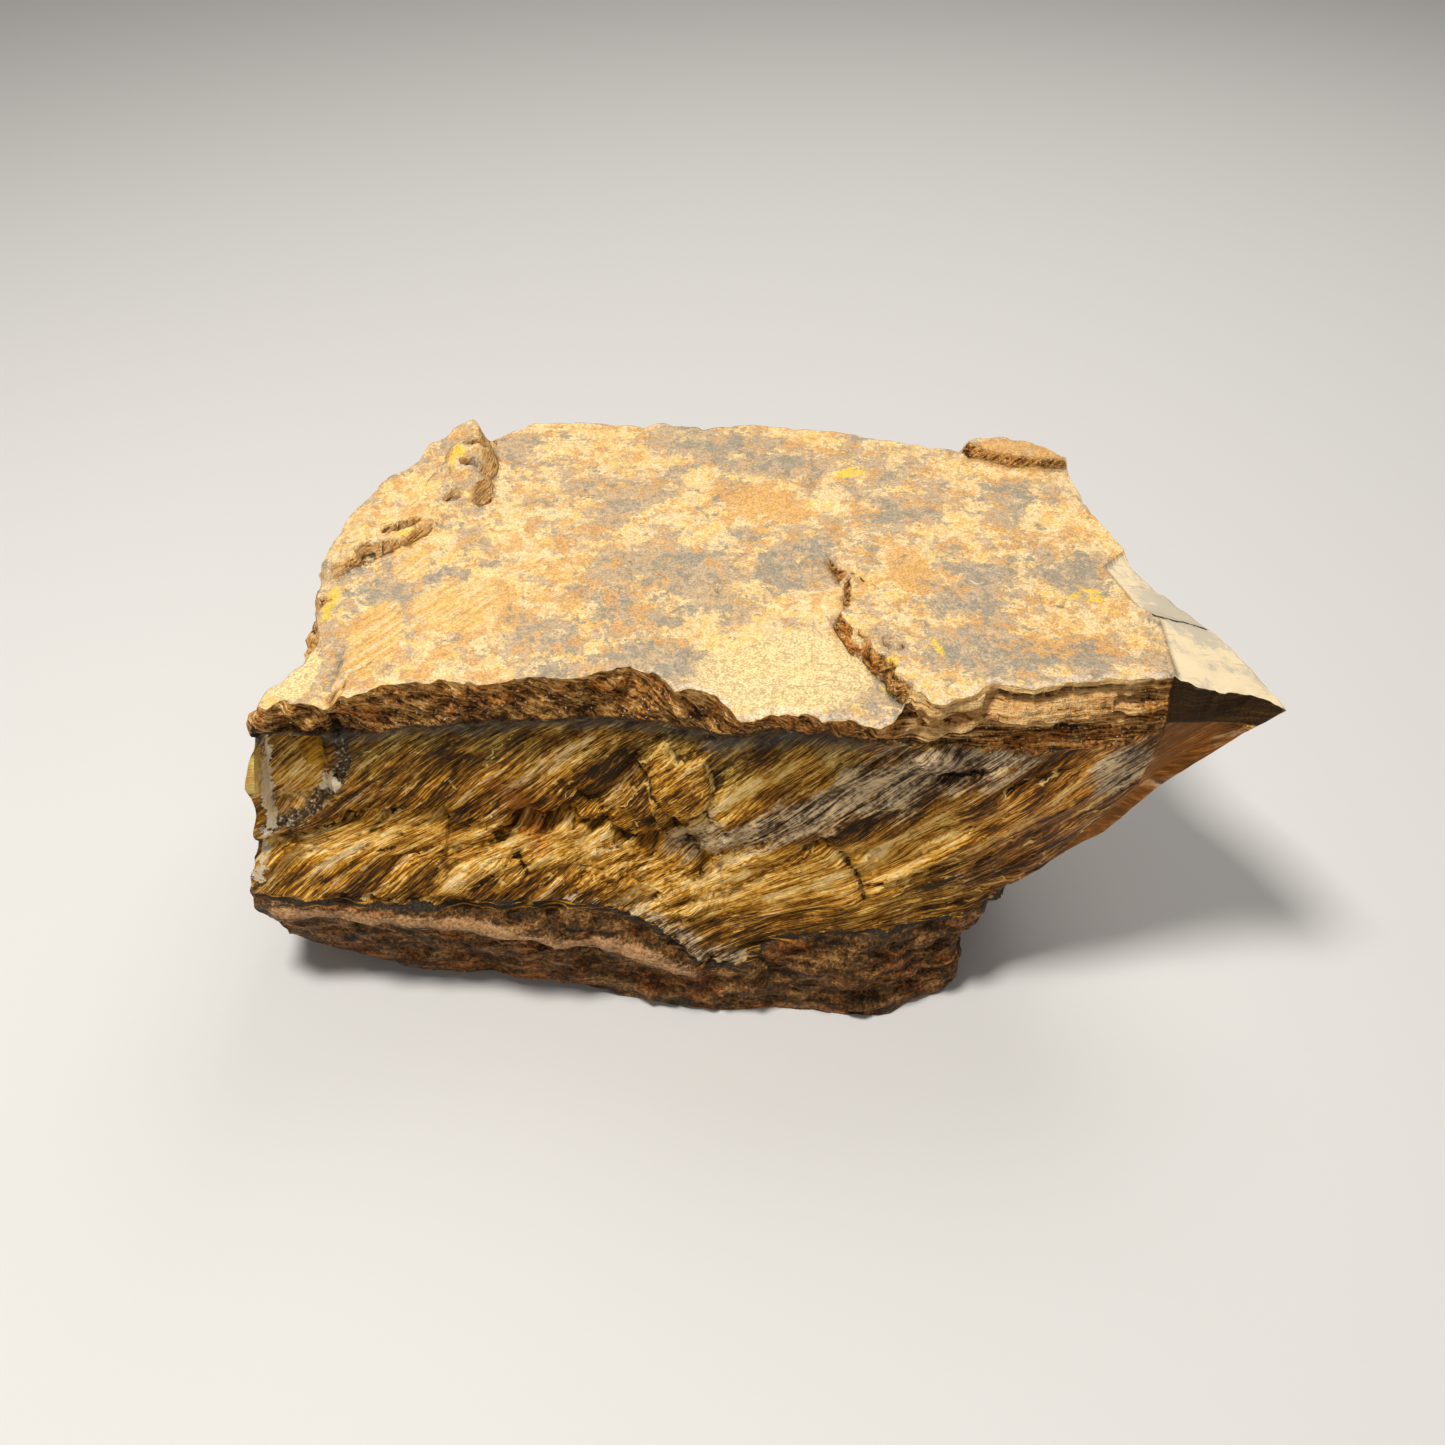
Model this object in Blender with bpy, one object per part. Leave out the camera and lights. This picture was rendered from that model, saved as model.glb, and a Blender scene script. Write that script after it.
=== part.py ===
"""Rough tiger's eye, one broken piece of rock.

A flat ironstone crust lies on a seam of parallel golden fibres, and the seam lies on a ledge of brown rock.
The stone rests on its base at z = 0, with its long side along X and its broken front towards -Y.
Lengths are in millimetres until the finished mesh is scaled to metres.
"""

import math

import bmesh
import bpy
from mathutils import Vector, noise

NAME = "tigers_eye_stone"
METRES = 0.001
CELLS_X, CELLS_Y, CELLS_Z = 132, 60, 50  # the grid that is carved, before it is thinned
TRIANGLES = 9400  # what is left of the grid at the end

# Heights of the top.
CRUST = 44.8  # the middle of the crust at the front
CRUST_CLIMB = 1.9  # how much higher the crust is at the back
SLAB = 47.4  # the thicker sheet on the right
LUMP = 3.6  # the remnant of an upper layer at the back left
REMNANT = 1.9  # the remnant at the back right
WEDGE_SLOPE = 0.31  # fall of the smooth facet towards the pointed end

# Each wall runs between two corners, and its rim is a broken line of (x, y).
FRONT_RIM = (
    (-55.3, -26.6), (-53.9, -27.3), (-52.6, -26.2), (-48.9, -26.8), (-46.9, -27.9), (-46.2, -26.4),
    (-44.7, -26.8), (-42.6, -25.5), (-41.4, -24.8), (-37.7, -24.4), (-35.4, -23.4), (-30.1, -24.3),
    (-27.3, -23.5), (-25.6, -22.5), (-21.0, -22.9), (-16.5, -21.7), (-13.3, -20.5), (-12.1, -21.1),
    (-9.4, -23.4), (-8.2, -25.2), (-6.9, -25.0), (-3.3, -26.1), (-2.3, -27.5), (-1.0, -30.4),
    (0.6, -30.2), (2.8, -28.8), (5.3, -29.1), (11.0, -30.3), (14.0, -31.4), (16.1, -30.2),
    (18.1, -27.3), (20.1, -29.9), (21.4, -30.4), (23.2, -29.2), (27.3, -26.5), (29.1, -27.4),
    (31.9, -27.5), (34.8, -26.6), (39.0, -25.8), (44.5, -25.9), (47.4, -24.9), (50.2, -25.8),
    (52.8, -25.5), (57.2, -24.6), (61.0, -25.5),
)
RIGHT_RIM = (
    (61.0, -25.5), (59.5, -22.6), (57.3, -17.1), (54.5, -11.3), (51.1, -7.2), (47.7, -2.2),
    (46.7, 1.5), (44.6, 8.9), (43.7, 15.1), (42.9, 20.4),
)
BACK_RIM = (
    (42.9, 20.4), (40.2, 22.9), (35.7, 24.8), (30.4, 24.1), (27.0, 24.9), (16.3, 27.8), (12.2, 30.3),
    (6.7, 31.6), (-0.4, 32.4), (-6.0, 30.9), (-11.7, 33.1), (-14.5, 32.2), (-25.9, 32.8),
    (-30.0, 31.9), (-32.6, 29.9), (-33.9, 25.6), (-37.4, 26.6), (-40.0, 25.6),
)
LEFT_RIM = (
    (-55.3, -26.6), (-54.6, -23.6), (-51.4, -19.5), (-50.5, -15.4), (-52.0, -10.3), (-51.3, -7.8),
    (-52.7, -6.8), (-53.0, -1.8), (-52.5, 3.1), (-51.1, 9.4), (-48.8, 15.3), (-45.9, 18.8),
    (-42.5, 23.3), (-40.0, 25.6),
)

# Under the rim a wall passes through six courses: the rim's foot, the top and the foot of the break across
# the fibres, the seam's foot, the lip of the ledge and the base. The key is where the rim is above them:
# x on the front and the back, y on the left and the right.
COURSES_DOWN = (0.0, 0.14, 0.45, 0.54, 0.71, 0.79, 1.0)  # share of a wall's rows above each course
FRONT = {
    -55.3: ((-56.6, -27.6, 39.6), (-58.4, -28.0, 27.3), (-59.2, -28.6, 23.4),
            (-61.0, -28.5, 15.4), (-60.6, -29.0, 12.0), (-58.3, -27.0, 5.8)),
    -45.8: ((-46.3, -26.2, 38.9), (-49.5, -26.5, 25.7), (-49.4, -29.0, 22.2),
            (-49.6, -30.0, 16.6), (-48.9, -30.6, 12.5), (-51.4, -28.0, 3.9)),
    -36.0: ((-36.3, -24.6, 38.5), (-37.7, -25.0, 25.5), (-37.6, -28.8, 21.5),
            (-38.0, -30.0, 16.3), (-38.4, -31.2, 11.7), (-39.9, -29.0, 1.9)),
    -22.7: ((-22.8, -22.6, 38.2), (-23.7, -24.0, 23.4), (-23.4, -28.6, 21.0),
            (-23.7, -30.0, 15.1), (-23.7, -32.0, 12.1), (-24.6, -30.5, 1.5)),
    -14.1: ((-13.5, -22.6, 38.1), (-14.0, -24.5, 21.4), (-13.8, -28.8, 18.4),
            (-14.0, -31.0, 12.4), (-13.9, -32.6, 10.0), (-14.3, -32.0, 0.0)),
    -3.4: ((-3.0, -25.8, 38.8), (-3.3, -27.0, 18.2), (-3.2, -31.2, 14.6),
           (-3.2, -32.8, 9.8), (-3.2, -34.0, 7.2), (-3.2, -33.5, 0.0)),
    4.9: ((5.2, -26.6, 39.9), (6.0, -27.8, 18.6), (5.9, -31.4, 15.8),
          (6.0, -33.0, 10.6), (6.1, -34.4, 7.9), (6.4, -33.5, 0.0)),
    15.6: ((15.8, -28.3, 40.2), (15.4, -28.9, 22.0), (14.2, -31.4, 18.0),
           (14.5, -33.0, 12.8), (15.3, -34.4, 9.0), (15.9, -34.8, 0.0)),
    28.2: ((28.8, -28.4, 40.2), (25.9, -29.2, 24.3), (24.6, -30.2, 20.0),
           (23.2, -30.6, 13.6), (24.0, -31.0, 8.8), (24.0, -31.0, 0.0)),
    40.8: ((40.9, -27.4, 39.8), (37.7, -27.4, 27.4), (35.0, -27.2, 21.8),
           (29.6, -28.6, 13.8), (26.8, -29.0, 8.2), (26.4, -29.4, 0.0)),
    47.1: ((47.7, -26.2, 40.4), (45.6, -25.0, 27.6), (41.0, -24.6, 21.2),
           (32.2, -26.0, 13.6), (27.6, -27.0, 7.2), (27.2, -27.6, 0.0)),
    61.0: ((57.4, -25.9, 40.3), (49.8, -22.8, 28.6), (45.1, -21.0, 19.6),
           (37.0, -20.4, 12.0), (29.2, -23.6, 6.4), (28.1, -24.6, 0.0)),
}
RIGHT = {
    -25.5: FRONT[61.0],
    -11.6: ((51.2, -12.4, 39.4), (45.0, -12.0, 28.6), (42.4, -12.0, 22.4),
            (36.6, -12.6, 12.6), (33.4, -12.6, 8.4), (29.4, -13.4, 0.0)),
    1.5: ((44.6, 1.5, 40.2), (41.2, 1.6, 29.4), (39.4, 2.0, 23.6),
          (36.6, 2.4, 14.6), (35.8, 2.8, 10.2), (31.4, 3.0, 0.0)),
    12.0: ((42.2, 12.6, 40.4), (39.4, 13.2, 29.8), (37.6, 13.6, 24.4),
           (35.2, 14.2, 15.8), (35.6, 14.6, 10.6), (31.8, 14.2, 0.0)),
    20.4: ((41.0, 21.6, 40.8), (37.4, 23.6, 30.2), (35.4, 24.4, 24.8),
           (33.0, 25.4, 16.2), (33.6, 26.4, 11.2), (30.4, 24.8, 0.0)),
}
BACK = {
    -40.0: ((-41.4, 26.6, 40.0), (-43.4, 28.4, 28.2), (-44.2, 29.0, 23.2),
            (-45.4, 30.0, 15.2), (-46.0, 30.6, 10.6), (-43.0, 28.4, 0.0)),
    -33.9: ((-33.6, 28.8, 39.4), (-34.2, 30.4, 28.4), (-34.6, 31.6, 23.0),
            (-35.2, 33.0, 15.0), (-35.6, 33.6, 10.4), (-34.2, 30.8, 0.0)),
    -20.0: ((-20.2, 32.4, 39.2), (-20.6, 30.6, 27.2), (-21.0, 32.6, 22.2),
            (-21.2, 33.4, 14.4), (-21.6, 34.2, 10.0), (-21.2, 31.4, 0.0)),
    -6.0: ((-6.0, 31.2, 38.8), (-6.4, 29.6, 25.6), (-6.6, 32.4, 21.6),
           (-6.6, 33.6, 13.8), (-6.6, 34.4, 9.4), (-7.0, 31.4, 0.0)),
    12.0: ((11.8, 30.2, 39.4), (11.2, 29.4, 27.6), (10.6, 31.4, 22.8),
           (10.4, 33.0, 14.6), (11.0, 34.0, 10.2), (10.0, 31.6, 0.0)),
    27.0: ((26.4, 25.8, 40.4), (24.4, 27.4, 29.4), (23.6, 29.0, 24.2),
           (22.6, 31.0, 15.6), (23.2, 32.2, 11.0), (21.2, 30.2, 0.0)),
    42.9: RIGHT[20.4],
}
LEFT = {
    -26.6: FRONT[-55.3],
    -15.0: ((-53.4, -15.6, 38.6), (-57.2, -16.4, 28.2), (-58.8, -16.8, 23.0),
            (-60.2, -17.0, 15.8), (-60.4, -17.0, 12.2), (-56.4, -16.0, 2.4)),
    -4.0: ((-54.6, -4.0, 38.4), (-55.6, -4.0, 27.0), (-57.4, -4.0, 22.4),
           (-58.2, -4.0, 14.8), (-59.2, -4.0, 11.0), (-55.4, -4.0, 0.0)),
    8.0: ((-53.0, 8.6, 39.0), (-54.6, 9.6, 28.4), (-55.4, 10.0, 23.0),
          (-57.0, 10.6, 14.4), (-57.6, 11.0, 10.4), (-54.0, 10.0, 0.0)),
    18.0: ((-47.6, 18.6, 39.6), (-50.4, 20.2, 27.4), (-51.6, 20.8, 22.2),
           (-52.4, 21.6, 15.0), (-53.2, 22.2, 11.0), (-49.4, 20.4, 0.0)),
    25.6: BACK[-40.0],
}

# Lines that cross the top: the left wall of the thick sheet and the edge of the smooth facet, as (y, x),
# the cliff of the back left lump, as (y, x), and the front of the back right remnant, as (x, y).
SLAB_WALL = (
    (-27.0, 16.4), (-23.4, 14.6), (-20.0, 13.0), (-17.0, 11.4), (-13.2, 9.6), (-11.4, 10.4),
    (-7.6, 11.8), (-3.0, 10.2), (1.6, 8.4),
)
SLAB_WALL_RUN = (0.9, 2.2)  # how far the wall takes to rise, at its narrowest and widest
SLAB_END = (3.0, -5.0)  # y where the sheet starts to stand proud, and where it is at its full height
WEDGE_EDGE = ((-25.0, 47.6), (-14.2, 48.0), (-11.4, 45.8), (-3.7, 43.6), (-0.3, 46.3), (3.0, 50.0))
LUMP_CLIFF = (
    (-3.4, -49.8), (-1.4, -47.2), (0.0, -43.6), (3.4, -40.4), (7.5, -38.3), (10.4, -37.0),
    (12.4, -33.8), (18.0, -33.0), (24.0, -33.6), (28.0, -35.6),
)
REMNANT_FRONT = ((29.0, 24.6), (30.6, 21.6), (35.5, 19.2), (43.5, 18.4))

# Hollows in the top: (x, y, half length, half width, turn in degrees, depth).
TOP_PITS = (
    (-43.3, 4.4, 2.9, 1.4, 35.0, 2.6), (-36.4, 21.0, 1.5, 0.9, 20.0, 1.6), (-36.6, 16.8, 1.3, 0.8, 0.0, 1.5),
    (-34.4, 12.6, 1.6, 1.0, 60.0, 1.8), (-38.4, 12.0, 1.4, 0.7, 30.0, 1.2), (-46.4, -1.6, 1.8, 1.0, 0.0, 1.5),
    (-51.6, -7.4, 2.2, 0.8, 0.0, 1.6), (6.6, 17.4, 3.6, 0.9, -42.0, 0.6), (36.4, -11.2, 2.4, 0.6, -20.0, 0.7),
    (-46.8, -24.6, 4.2, 0.8, 80.0, 2.0), (15.4, -18.6, 2.0, 1.0, -40.0, 0.9),
)

# The frame of the corner block's sunk face, and the cracks of the front, as x and z across the front.
WINDOW = (-56.4, -49.2, 27.8, 38.6)
WINDOW_DEPTH = 1.7
FRONT_CRACKS = (
    ((-13.5, 30.7), (-9.3, 24.5), (-7.9, 21.5), (-5.0, 18.0)), ((-22.6, 28.1), (-19.4, 26.0), (-17.1, 24.3)),
    ((7.5, 22.4), (9.0, 23.9), (11.4, 22.4), (14.5, 17.8)), ((-53.4, 19.3), (-44.5, 22.5), (-40.8, 23.2)),
    ((-5.2, 26.6), (-2.4, 23.4)), ((20.6, 36.6), (25.6, 34.2), (30.2, 34.4)), ((30.4, 33.0), (36.8, 35.4)),
)
CRACK_WIDTH, CRACK_DEPTH = 0.9, 0.9

# The thick crust's front breaks into sheets, between these x and z.
SHEETS = (17.0, 47.5, 38.8, 47.6)
SHEET_THICKNESS, SHEET_DEPTH = 2.7, 1.5
UNDERCUT = 1.2  # how far the seam is sunk under the rim's foot
CORNER_WEAR = 1.6  # how much the upright edges are broken back

# The base: a flat patch to rest on around its middle, and shallow hollows outside it.
REST_MIDDLE, REST_RADIUS = (-6.0, 1.0), 11.0
HOLLOW_DEPTH = 0.9


def share(value, low, high):
    """How far value is from low to high, as a smooth step from 0 to 1."""
    part = min(max((value - low) / (high - low), 0.0), 1.0)
    return part * part * (3.0 - 2.0 * part)


def broken_line(points, key):
    """The second number of a line of (key, number) points, straight between them."""
    points = sorted(points)
    for (key_a, a), (key_b, b) in zip(points, points[1:]):
        if key <= key_b:
            part = min(max((key - key_a) / (key_b - key_a), 0.0), 1.0)
            return a + (b - a) * part
    return points[-1][1]


def smooth_point(stations, key, course):
    """A course's point, on a smooth curve through the wall's stations."""
    keys = sorted(stations)
    points = [Vector(stations[k][course]) for k in keys]
    last = len(keys) - 1
    i = max(min(sum(k <= key for k in keys) - 1, last - 1), 0)
    span = keys[i + 1] - keys[i]
    part = min(max((key - keys[i]) / span, 0.0), 1.0)
    before, after = max(i - 1, 0), min(i + 2, last)
    slope_a = (points[i + 1] - points[before]) / (keys[i + 1] - keys[before]) * span
    slope_b = (points[after] - points[i]) / (keys[after] - keys[i]) * span
    square, cube = part * part, part * part * part
    return (
        points[i] * (2 * cube - 3 * square + 1)
        + slope_a * (cube - 2 * square + part)
        + points[i + 1] * (3 * square - 2 * cube)
        + slope_b * (cube - square)
    )


def pit_depth(x, y):
    depth = 0.0
    for pit_x, pit_y, length, width, turn, deep in TOP_PITS:
        cos, sin = math.cos(math.radians(turn)), math.sin(math.radians(turn))
        along = ((x - pit_x) * cos + (y - pit_y) * sin) / length
        across = ((y - pit_y) * cos - (x - pit_x) * sin) / width
        depth += deep * (1.0 - share(along * along + across * across, 0.25, 1.3))
    return depth


def top_height(x, y):
    """Height of the top over a place, from the crust's steps, remnants, facets and pits."""
    grain = noise.noise(Vector((x / 3.1, y / 3.1, 4.0)))
    climb = CRUST_CLIMB * share(y, -24.0, 22.0)
    wall = broken_line(SLAB_WALL, y)
    proud = share(y, *SLAB_END)
    run = SLAB_WALL_RUN[0] + (SLAB_WALL_RUN[1] - SLAB_WALL_RUN[0]) * share(grain, -0.3, 0.5)
    on_slab = proud * share(x, wall, wall + run) + (1.0 - proud) * share(x, -8.0, 20.0)
    z = CRUST + climb + (SLAB - CRUST - climb) * on_slab
    edge = broken_line(WEDGE_EDGE, y)
    z -= max(x - edge, 0.0) * WEDGE_SLOPE + 0.2 * share(x, edge, edge + 1.2)
    z += REMNANT * share(y - broken_line(REMNANT_FRONT, x), 0.0, 1.4) * share(x, 28.0, 31.0)
    cliff = broken_line(LUMP_CLIFF, y) + 0.7 * grain
    lump = share(cliff - x, 0.0, 1.1) * share(y, -3.8, -0.6)
    z += lump * (LUMP + 1.0 * noise.noise(Vector((x / 4.2, y / 4.2, 9.0))) - 0.30 * max(cliff - 3.0 - x, 0.0))
    z -= 0.34 * max(-48.6 - x, 0.0) * (1.0 - share(y, 14.0, 24.0))
    block = share(-46.2 - x, 0.0, 1.0) * share(-17.6 - y, 0.0, 2.4)
    z += block * (0.9 - 0.22 * (x + 56.0))
    z -= pit_depth(x, y)
    return z + 0.30 * noise.noise(Vector((x / 9.0, y / 9.0, 2.0))) + 0.16 * grain


def rim_point(rim, axis, key):
    """A point of a rim: its key is x on the front and the back, y on the sides."""
    other = broken_line([(p[axis], p[1 - axis]) for p in rim], key)
    x, y = (key, other) if axis == 0 else (other, key)
    return Vector((x, y, top_height(x, y)))


def wall_point(rim, stations, axis, part, down):
    """A point of a wall, from the rim (down 0) to the base (down 1)."""
    keys = sorted(stations)
    key = keys[0] + (keys[-1] - keys[0]) * part
    i = max(min(sum(d <= down for d in COURSES_DOWN) - 1, len(COURSES_DOWN) - 2), 0)
    upper = rim_point(rim, axis, key) if i == 0 else smooth_point(stations, key, i - 1)
    lower = smooth_point(stations, key, i)
    return upper.lerp(lower, (down - COURSES_DOWN[i]) / (COURSES_DOWN[i + 1] - COURSES_DOWN[i]))


def front_wall(part, down):
    return wall_point(FRONT_RIM, FRONT, 0, part, down)


def back_wall(part, down):
    return wall_point(BACK_RIM, BACK, 0, part, down)


def left_wall(part, down):
    return wall_point(LEFT_RIM, LEFT, 1, part, down)


def right_wall(part, down):
    return wall_point(RIGHT_RIM, RIGHT, 1, part, down)


def patch_point(across, back, down):
    """A point of the top (down 0) or the base (down 1), stretched between the four walls."""
    walls = (
        front_wall(across, down) * (1.0 - back)
        + back_wall(across, down) * back
        + left_wall(back, down) * (1.0 - across)
        + right_wall(back, down) * across
    )
    corners = (
        front_wall(0.0, down) * (1.0 - across) * (1.0 - back)
        + front_wall(1.0, down) * across * (1.0 - back)
        + back_wall(0.0, down) * (1.0 - across) * back
        + back_wall(1.0, down) * across * back
    )
    return walls - corners


def carried_to_form(co):
    """Where a point of the starting cube, from -1 to 1 each way, lies on the stone."""
    across, back, down = (co.x + 1.0) / 2.0, (co.y + 1.0) / 2.0, (1.0 - co.z) / 2.0
    if co.y < -0.9999:
        return front_wall(across, down)
    if co.y > 0.9999:
        return back_wall(across, down)
    if co.x < -0.9999:
        return left_wall(back, down)
    if co.x > 0.9999:
        return right_wall(back, down)
    point = patch_point(across, back, down)
    if co.z > 0.9999:
        point.z = top_height(point.x, point.y)
    else:
        inside = min(across, 1.0 - across, back, 1.0 - back)
        from_rest = (point.xy - Vector(REST_MIDDLE)).length
        hollow = HOLLOW_DEPTH * share(noise.noise(Vector((point.x / 14.0, point.y / 14.0, 6.0))), 0.1, 0.5)
        hollow *= share(inside, 0.0, 0.1) * share(from_rest, REST_RADIUS, REST_RADIUS + 5.0)
        point.z = max(point.z * (1.0 - share(inside, 0.0, 0.3)), hollow)
    return point


def distance_to_line(x, z, line):
    """The distance from (x, z) to a line of points."""
    place = Vector((x, z))
    nearest = 1000.0
    for a, b in zip(line, line[1:]):
        start, run = Vector(a), Vector(b) - Vector(a)
        part = min(max((place - start).dot(run) / run.length_squared, 0.0), 1.0)
        nearest = min(nearest, (place - start - run * part).length)
    return nearest


def wall_relief(co, down, around):
    """How far a wall stands out of its plain form: strata in the crust, fibre bundles, lumps in the ledge."""
    rim_foot, seam_foot = COURSES_DOWN[1], COURSES_DOWN[4]
    along, across = around * 0.82 + co.z * 0.57, co.z * 0.82 - around * 0.57
    crust = 0.6 * noise.noise(Vector((along / 4.0, across / 1.6, 1.0)))
    fibres = 0.8 * noise.noise(Vector((along / 11.0, across / 2.4, 3.0)))
    fibres += 0.9 * noise.noise(co / 8.0)
    fibres -= UNDERCUT * share(down, rim_foot, rim_foot + 0.02) * (1.0 - share(down, rim_foot, rim_foot + 0.2))
    ledge = 1.4 * noise.noise(Vector((co.x / 5.0, co.y / 5.0, co.z / 2.6 + 5.0)))
    ledge += 0.6 * noise.noise(Vector((co.x / 2.4, co.y / 2.4, co.z / 1.8 + 5.0)))
    in_seam = share(down, rim_foot - 0.01, rim_foot + 0.02)
    in_ledge = share(down, seam_foot - 0.03, seam_foot + 0.03)
    relief = crust + (fibres - crust) * in_seam + (ledge - fibres) * in_ledge
    return relief * share(down, 0.0, 0.06) * (1.0 - 0.7 * share(down, 0.9, 1.0))


def front_relief(co):
    """The sunk face beside the corner, the sheets of the thick crust and the cracks, on the front only."""
    left, right, low, high = WINDOW
    sunk = share(co.x, left - 0.8, left + 0.6) * share(right - co.x, -0.8, 0.6)
    sunk *= share(co.z, low - 0.8, low + 0.8) * share(high - co.z, -0.3, 0.5)
    relief = -WINDOW_DEPTH * sunk
    left, right, low, high = SHEETS
    layer = (co.z - low) / SHEET_THICKNESS + 0.7 * noise.noise(Vector((co.x / 9.0, 0.0, 7.0)))
    stepped = share(co.x, left, left + 2.0) * share(right - co.x, 0.0, 2.0)
    stepped *= share(co.z, low - 0.5, low + 0.5) * share(high - co.z, 0.0, 0.6)
    relief += SHEET_DEPTH * stepped * (layer - math.floor(layer) - 0.5)
    for line in FRONT_CRACKS:
        relief -= CRACK_DEPTH * (1.0 - share(distance_to_line(co.x, co.z, line), 0.0, CRACK_WIDTH))
    return relief


def rough_relief(co):
    """The wider breaks of the back and the sides."""
    return 1.5 * noise.noise(co / 15.0 + Vector((3.0, 0.0, 0.0))) + 0.7 * noise.noise(co / 6.0)


def corner_relief(co, edge, down):
    """The broken upright edges. The rims and the pointed end stay sharp."""
    pointed = share(co.x, 34.0, 40.0)
    broken = 0.4 + noise.noise(Vector((co.y / 9.0, 3.0, co.z / 4.5)))
    return -CORNER_WEAR * max(broken, 0.0) * share(edge, 0.86, 1.0) * share(down, 0.12, 0.2) * (1.0 - pointed)


def carve(mesh):
    """Moves the points of the walls along their normals by the relief."""
    mesh.normal_update()
    moves = []
    down_of = mesh.verts.layers.float["down"]
    edge_of = mesh.verts.layers.float["edge"]
    front_of = mesh.verts.layers.float["front"]
    for vert in mesh.verts:
        down = vert[down_of]
        if down < 0.0:
            continue
        on_front = vert[front_of] > 0.5
        faces_x = abs(vert.normal.x) > abs(vert.normal.y)
        relief = wall_relief(vert.co, down, vert.co.y if faces_x else vert.co.x)
        fade = share(down, 0.0, 0.1)
        relief += fade * (front_relief(vert.co) if on_front else rough_relief(vert.co))
        relief += corner_relief(vert.co, vert[edge_of], down)
        moves.append((vert, vert.normal * relief))
    for vert, move in moves:
        vert.co += move
        vert.co.z = max(vert.co.z, 0.0)


def gridded_cube():
    """A cube from -1 to 1 whose edges are cut into the cells of the grid."""
    mesh = bmesh.new()
    bmesh.ops.create_cube(mesh, size=2.0)
    for axis, cells in enumerate((CELLS_X, CELLS_Y, CELLS_Z)):
        edges = [e for e in mesh.edges if abs(e.verts[0].co[axis] - e.verts[1].co[axis]) > 1.5]
        bmesh.ops.subdivide_edges(mesh, edges=edges, cuts=cells - 1, use_grid_fill=True)
    return mesh


def stone_mesh():
    mesh = gridded_cube()
    down_of = mesh.verts.layers.float.new("down")
    edge_of = mesh.verts.layers.float.new("edge")
    front_of = mesh.verts.layers.float.new("front")
    for vert in mesh.verts:
        on_wall = max(abs(vert.co.x), abs(vert.co.y)) > 0.9999
        vert[down_of] = (1.0 - vert.co.z) / 2.0 if on_wall else -1.0
        vert[edge_of] = min(abs(vert.co.x), abs(vert.co.y))
        vert[front_of] = float(vert.co.y < -0.9999)
        vert.co = carried_to_form(vert.co)
    carve(mesh)
    bmesh.ops.recalc_face_normals(mesh, faces=mesh.faces)
    bmesh.ops.triangulate(mesh, faces=mesh.faces)
    return mesh


def thinned(obj, collection):
    """The object with its triangles thinned where the surface is plain."""
    thin = obj.modifiers.new("thin", "DECIMATE")
    thin.ratio = TRIANGLES / len(obj.data.polygons)
    graph = bpy.context.evaluated_depsgraph_get()
    data = bpy.data.meshes.new_from_object(obj.evaluated_get(graph))
    bpy.data.objects.remove(obj)
    stone = bpy.data.objects.new(NAME, data)
    data.name = NAME
    collection.objects.link(stone)
    return stone


def settle(data):
    """Flattens what nearly touches the ground, centres the stone on its base and scales it to metres."""
    mesh = bmesh.new()
    mesh.from_mesh(data)
    lows = [min(v.co[i] for v in mesh.verts) for i in range(3)]
    highs = [max(v.co[i] for v in mesh.verts) for i in range(3)]
    centre = Vector(((lows[0] + highs[0]) / 2.0, (lows[1] + highs[1]) / 2.0, 0.0))
    for vert in mesh.verts:
        if vert.co.z < 0.05:
            vert.co.z = 0.0
        vert.co = (vert.co - centre) * METRES
    mesh.to_mesh(data)
    mesh.free()


def stone_material():
    material = bpy.data.materials.new("tigers_eye")
    material.use_nodes = True
    shader = material.node_tree.nodes["Principled BSDF"]
    shader.inputs["Base Color"].default_value = (0.34, 0.18, 0.06, 1.0)
    shader.inputs["Roughness"].default_value = 0.55
    shader.inputs["Metallic"].default_value = 0.0
    return material


def main():
    for obj in list(bpy.data.objects):
        bpy.data.objects.remove(obj)
    collection = bpy.data.collections.new("rough_tigers_eye")
    bpy.context.scene.collection.children.link(collection)
    data = bpy.data.meshes.new("carved")
    mesh = stone_mesh()
    mesh.to_mesh(data)
    mesh.free()
    carved = bpy.data.objects.new("carved", data)
    collection.objects.link(carved)
    stone = thinned(carved, collection)
    settle(stone.data)
    stone.data.materials.append(stone_material())


main()
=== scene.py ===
# Rough tiger's eye on a pale floor: a flat ironstone crust over a seam of golden fibres over brown rock.
# The stone is carved in millimetres and scaled to metres at the end.
import functools
import math

import bmesh
import bpy
from mathutils import Matrix, Vector, noise


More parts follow.
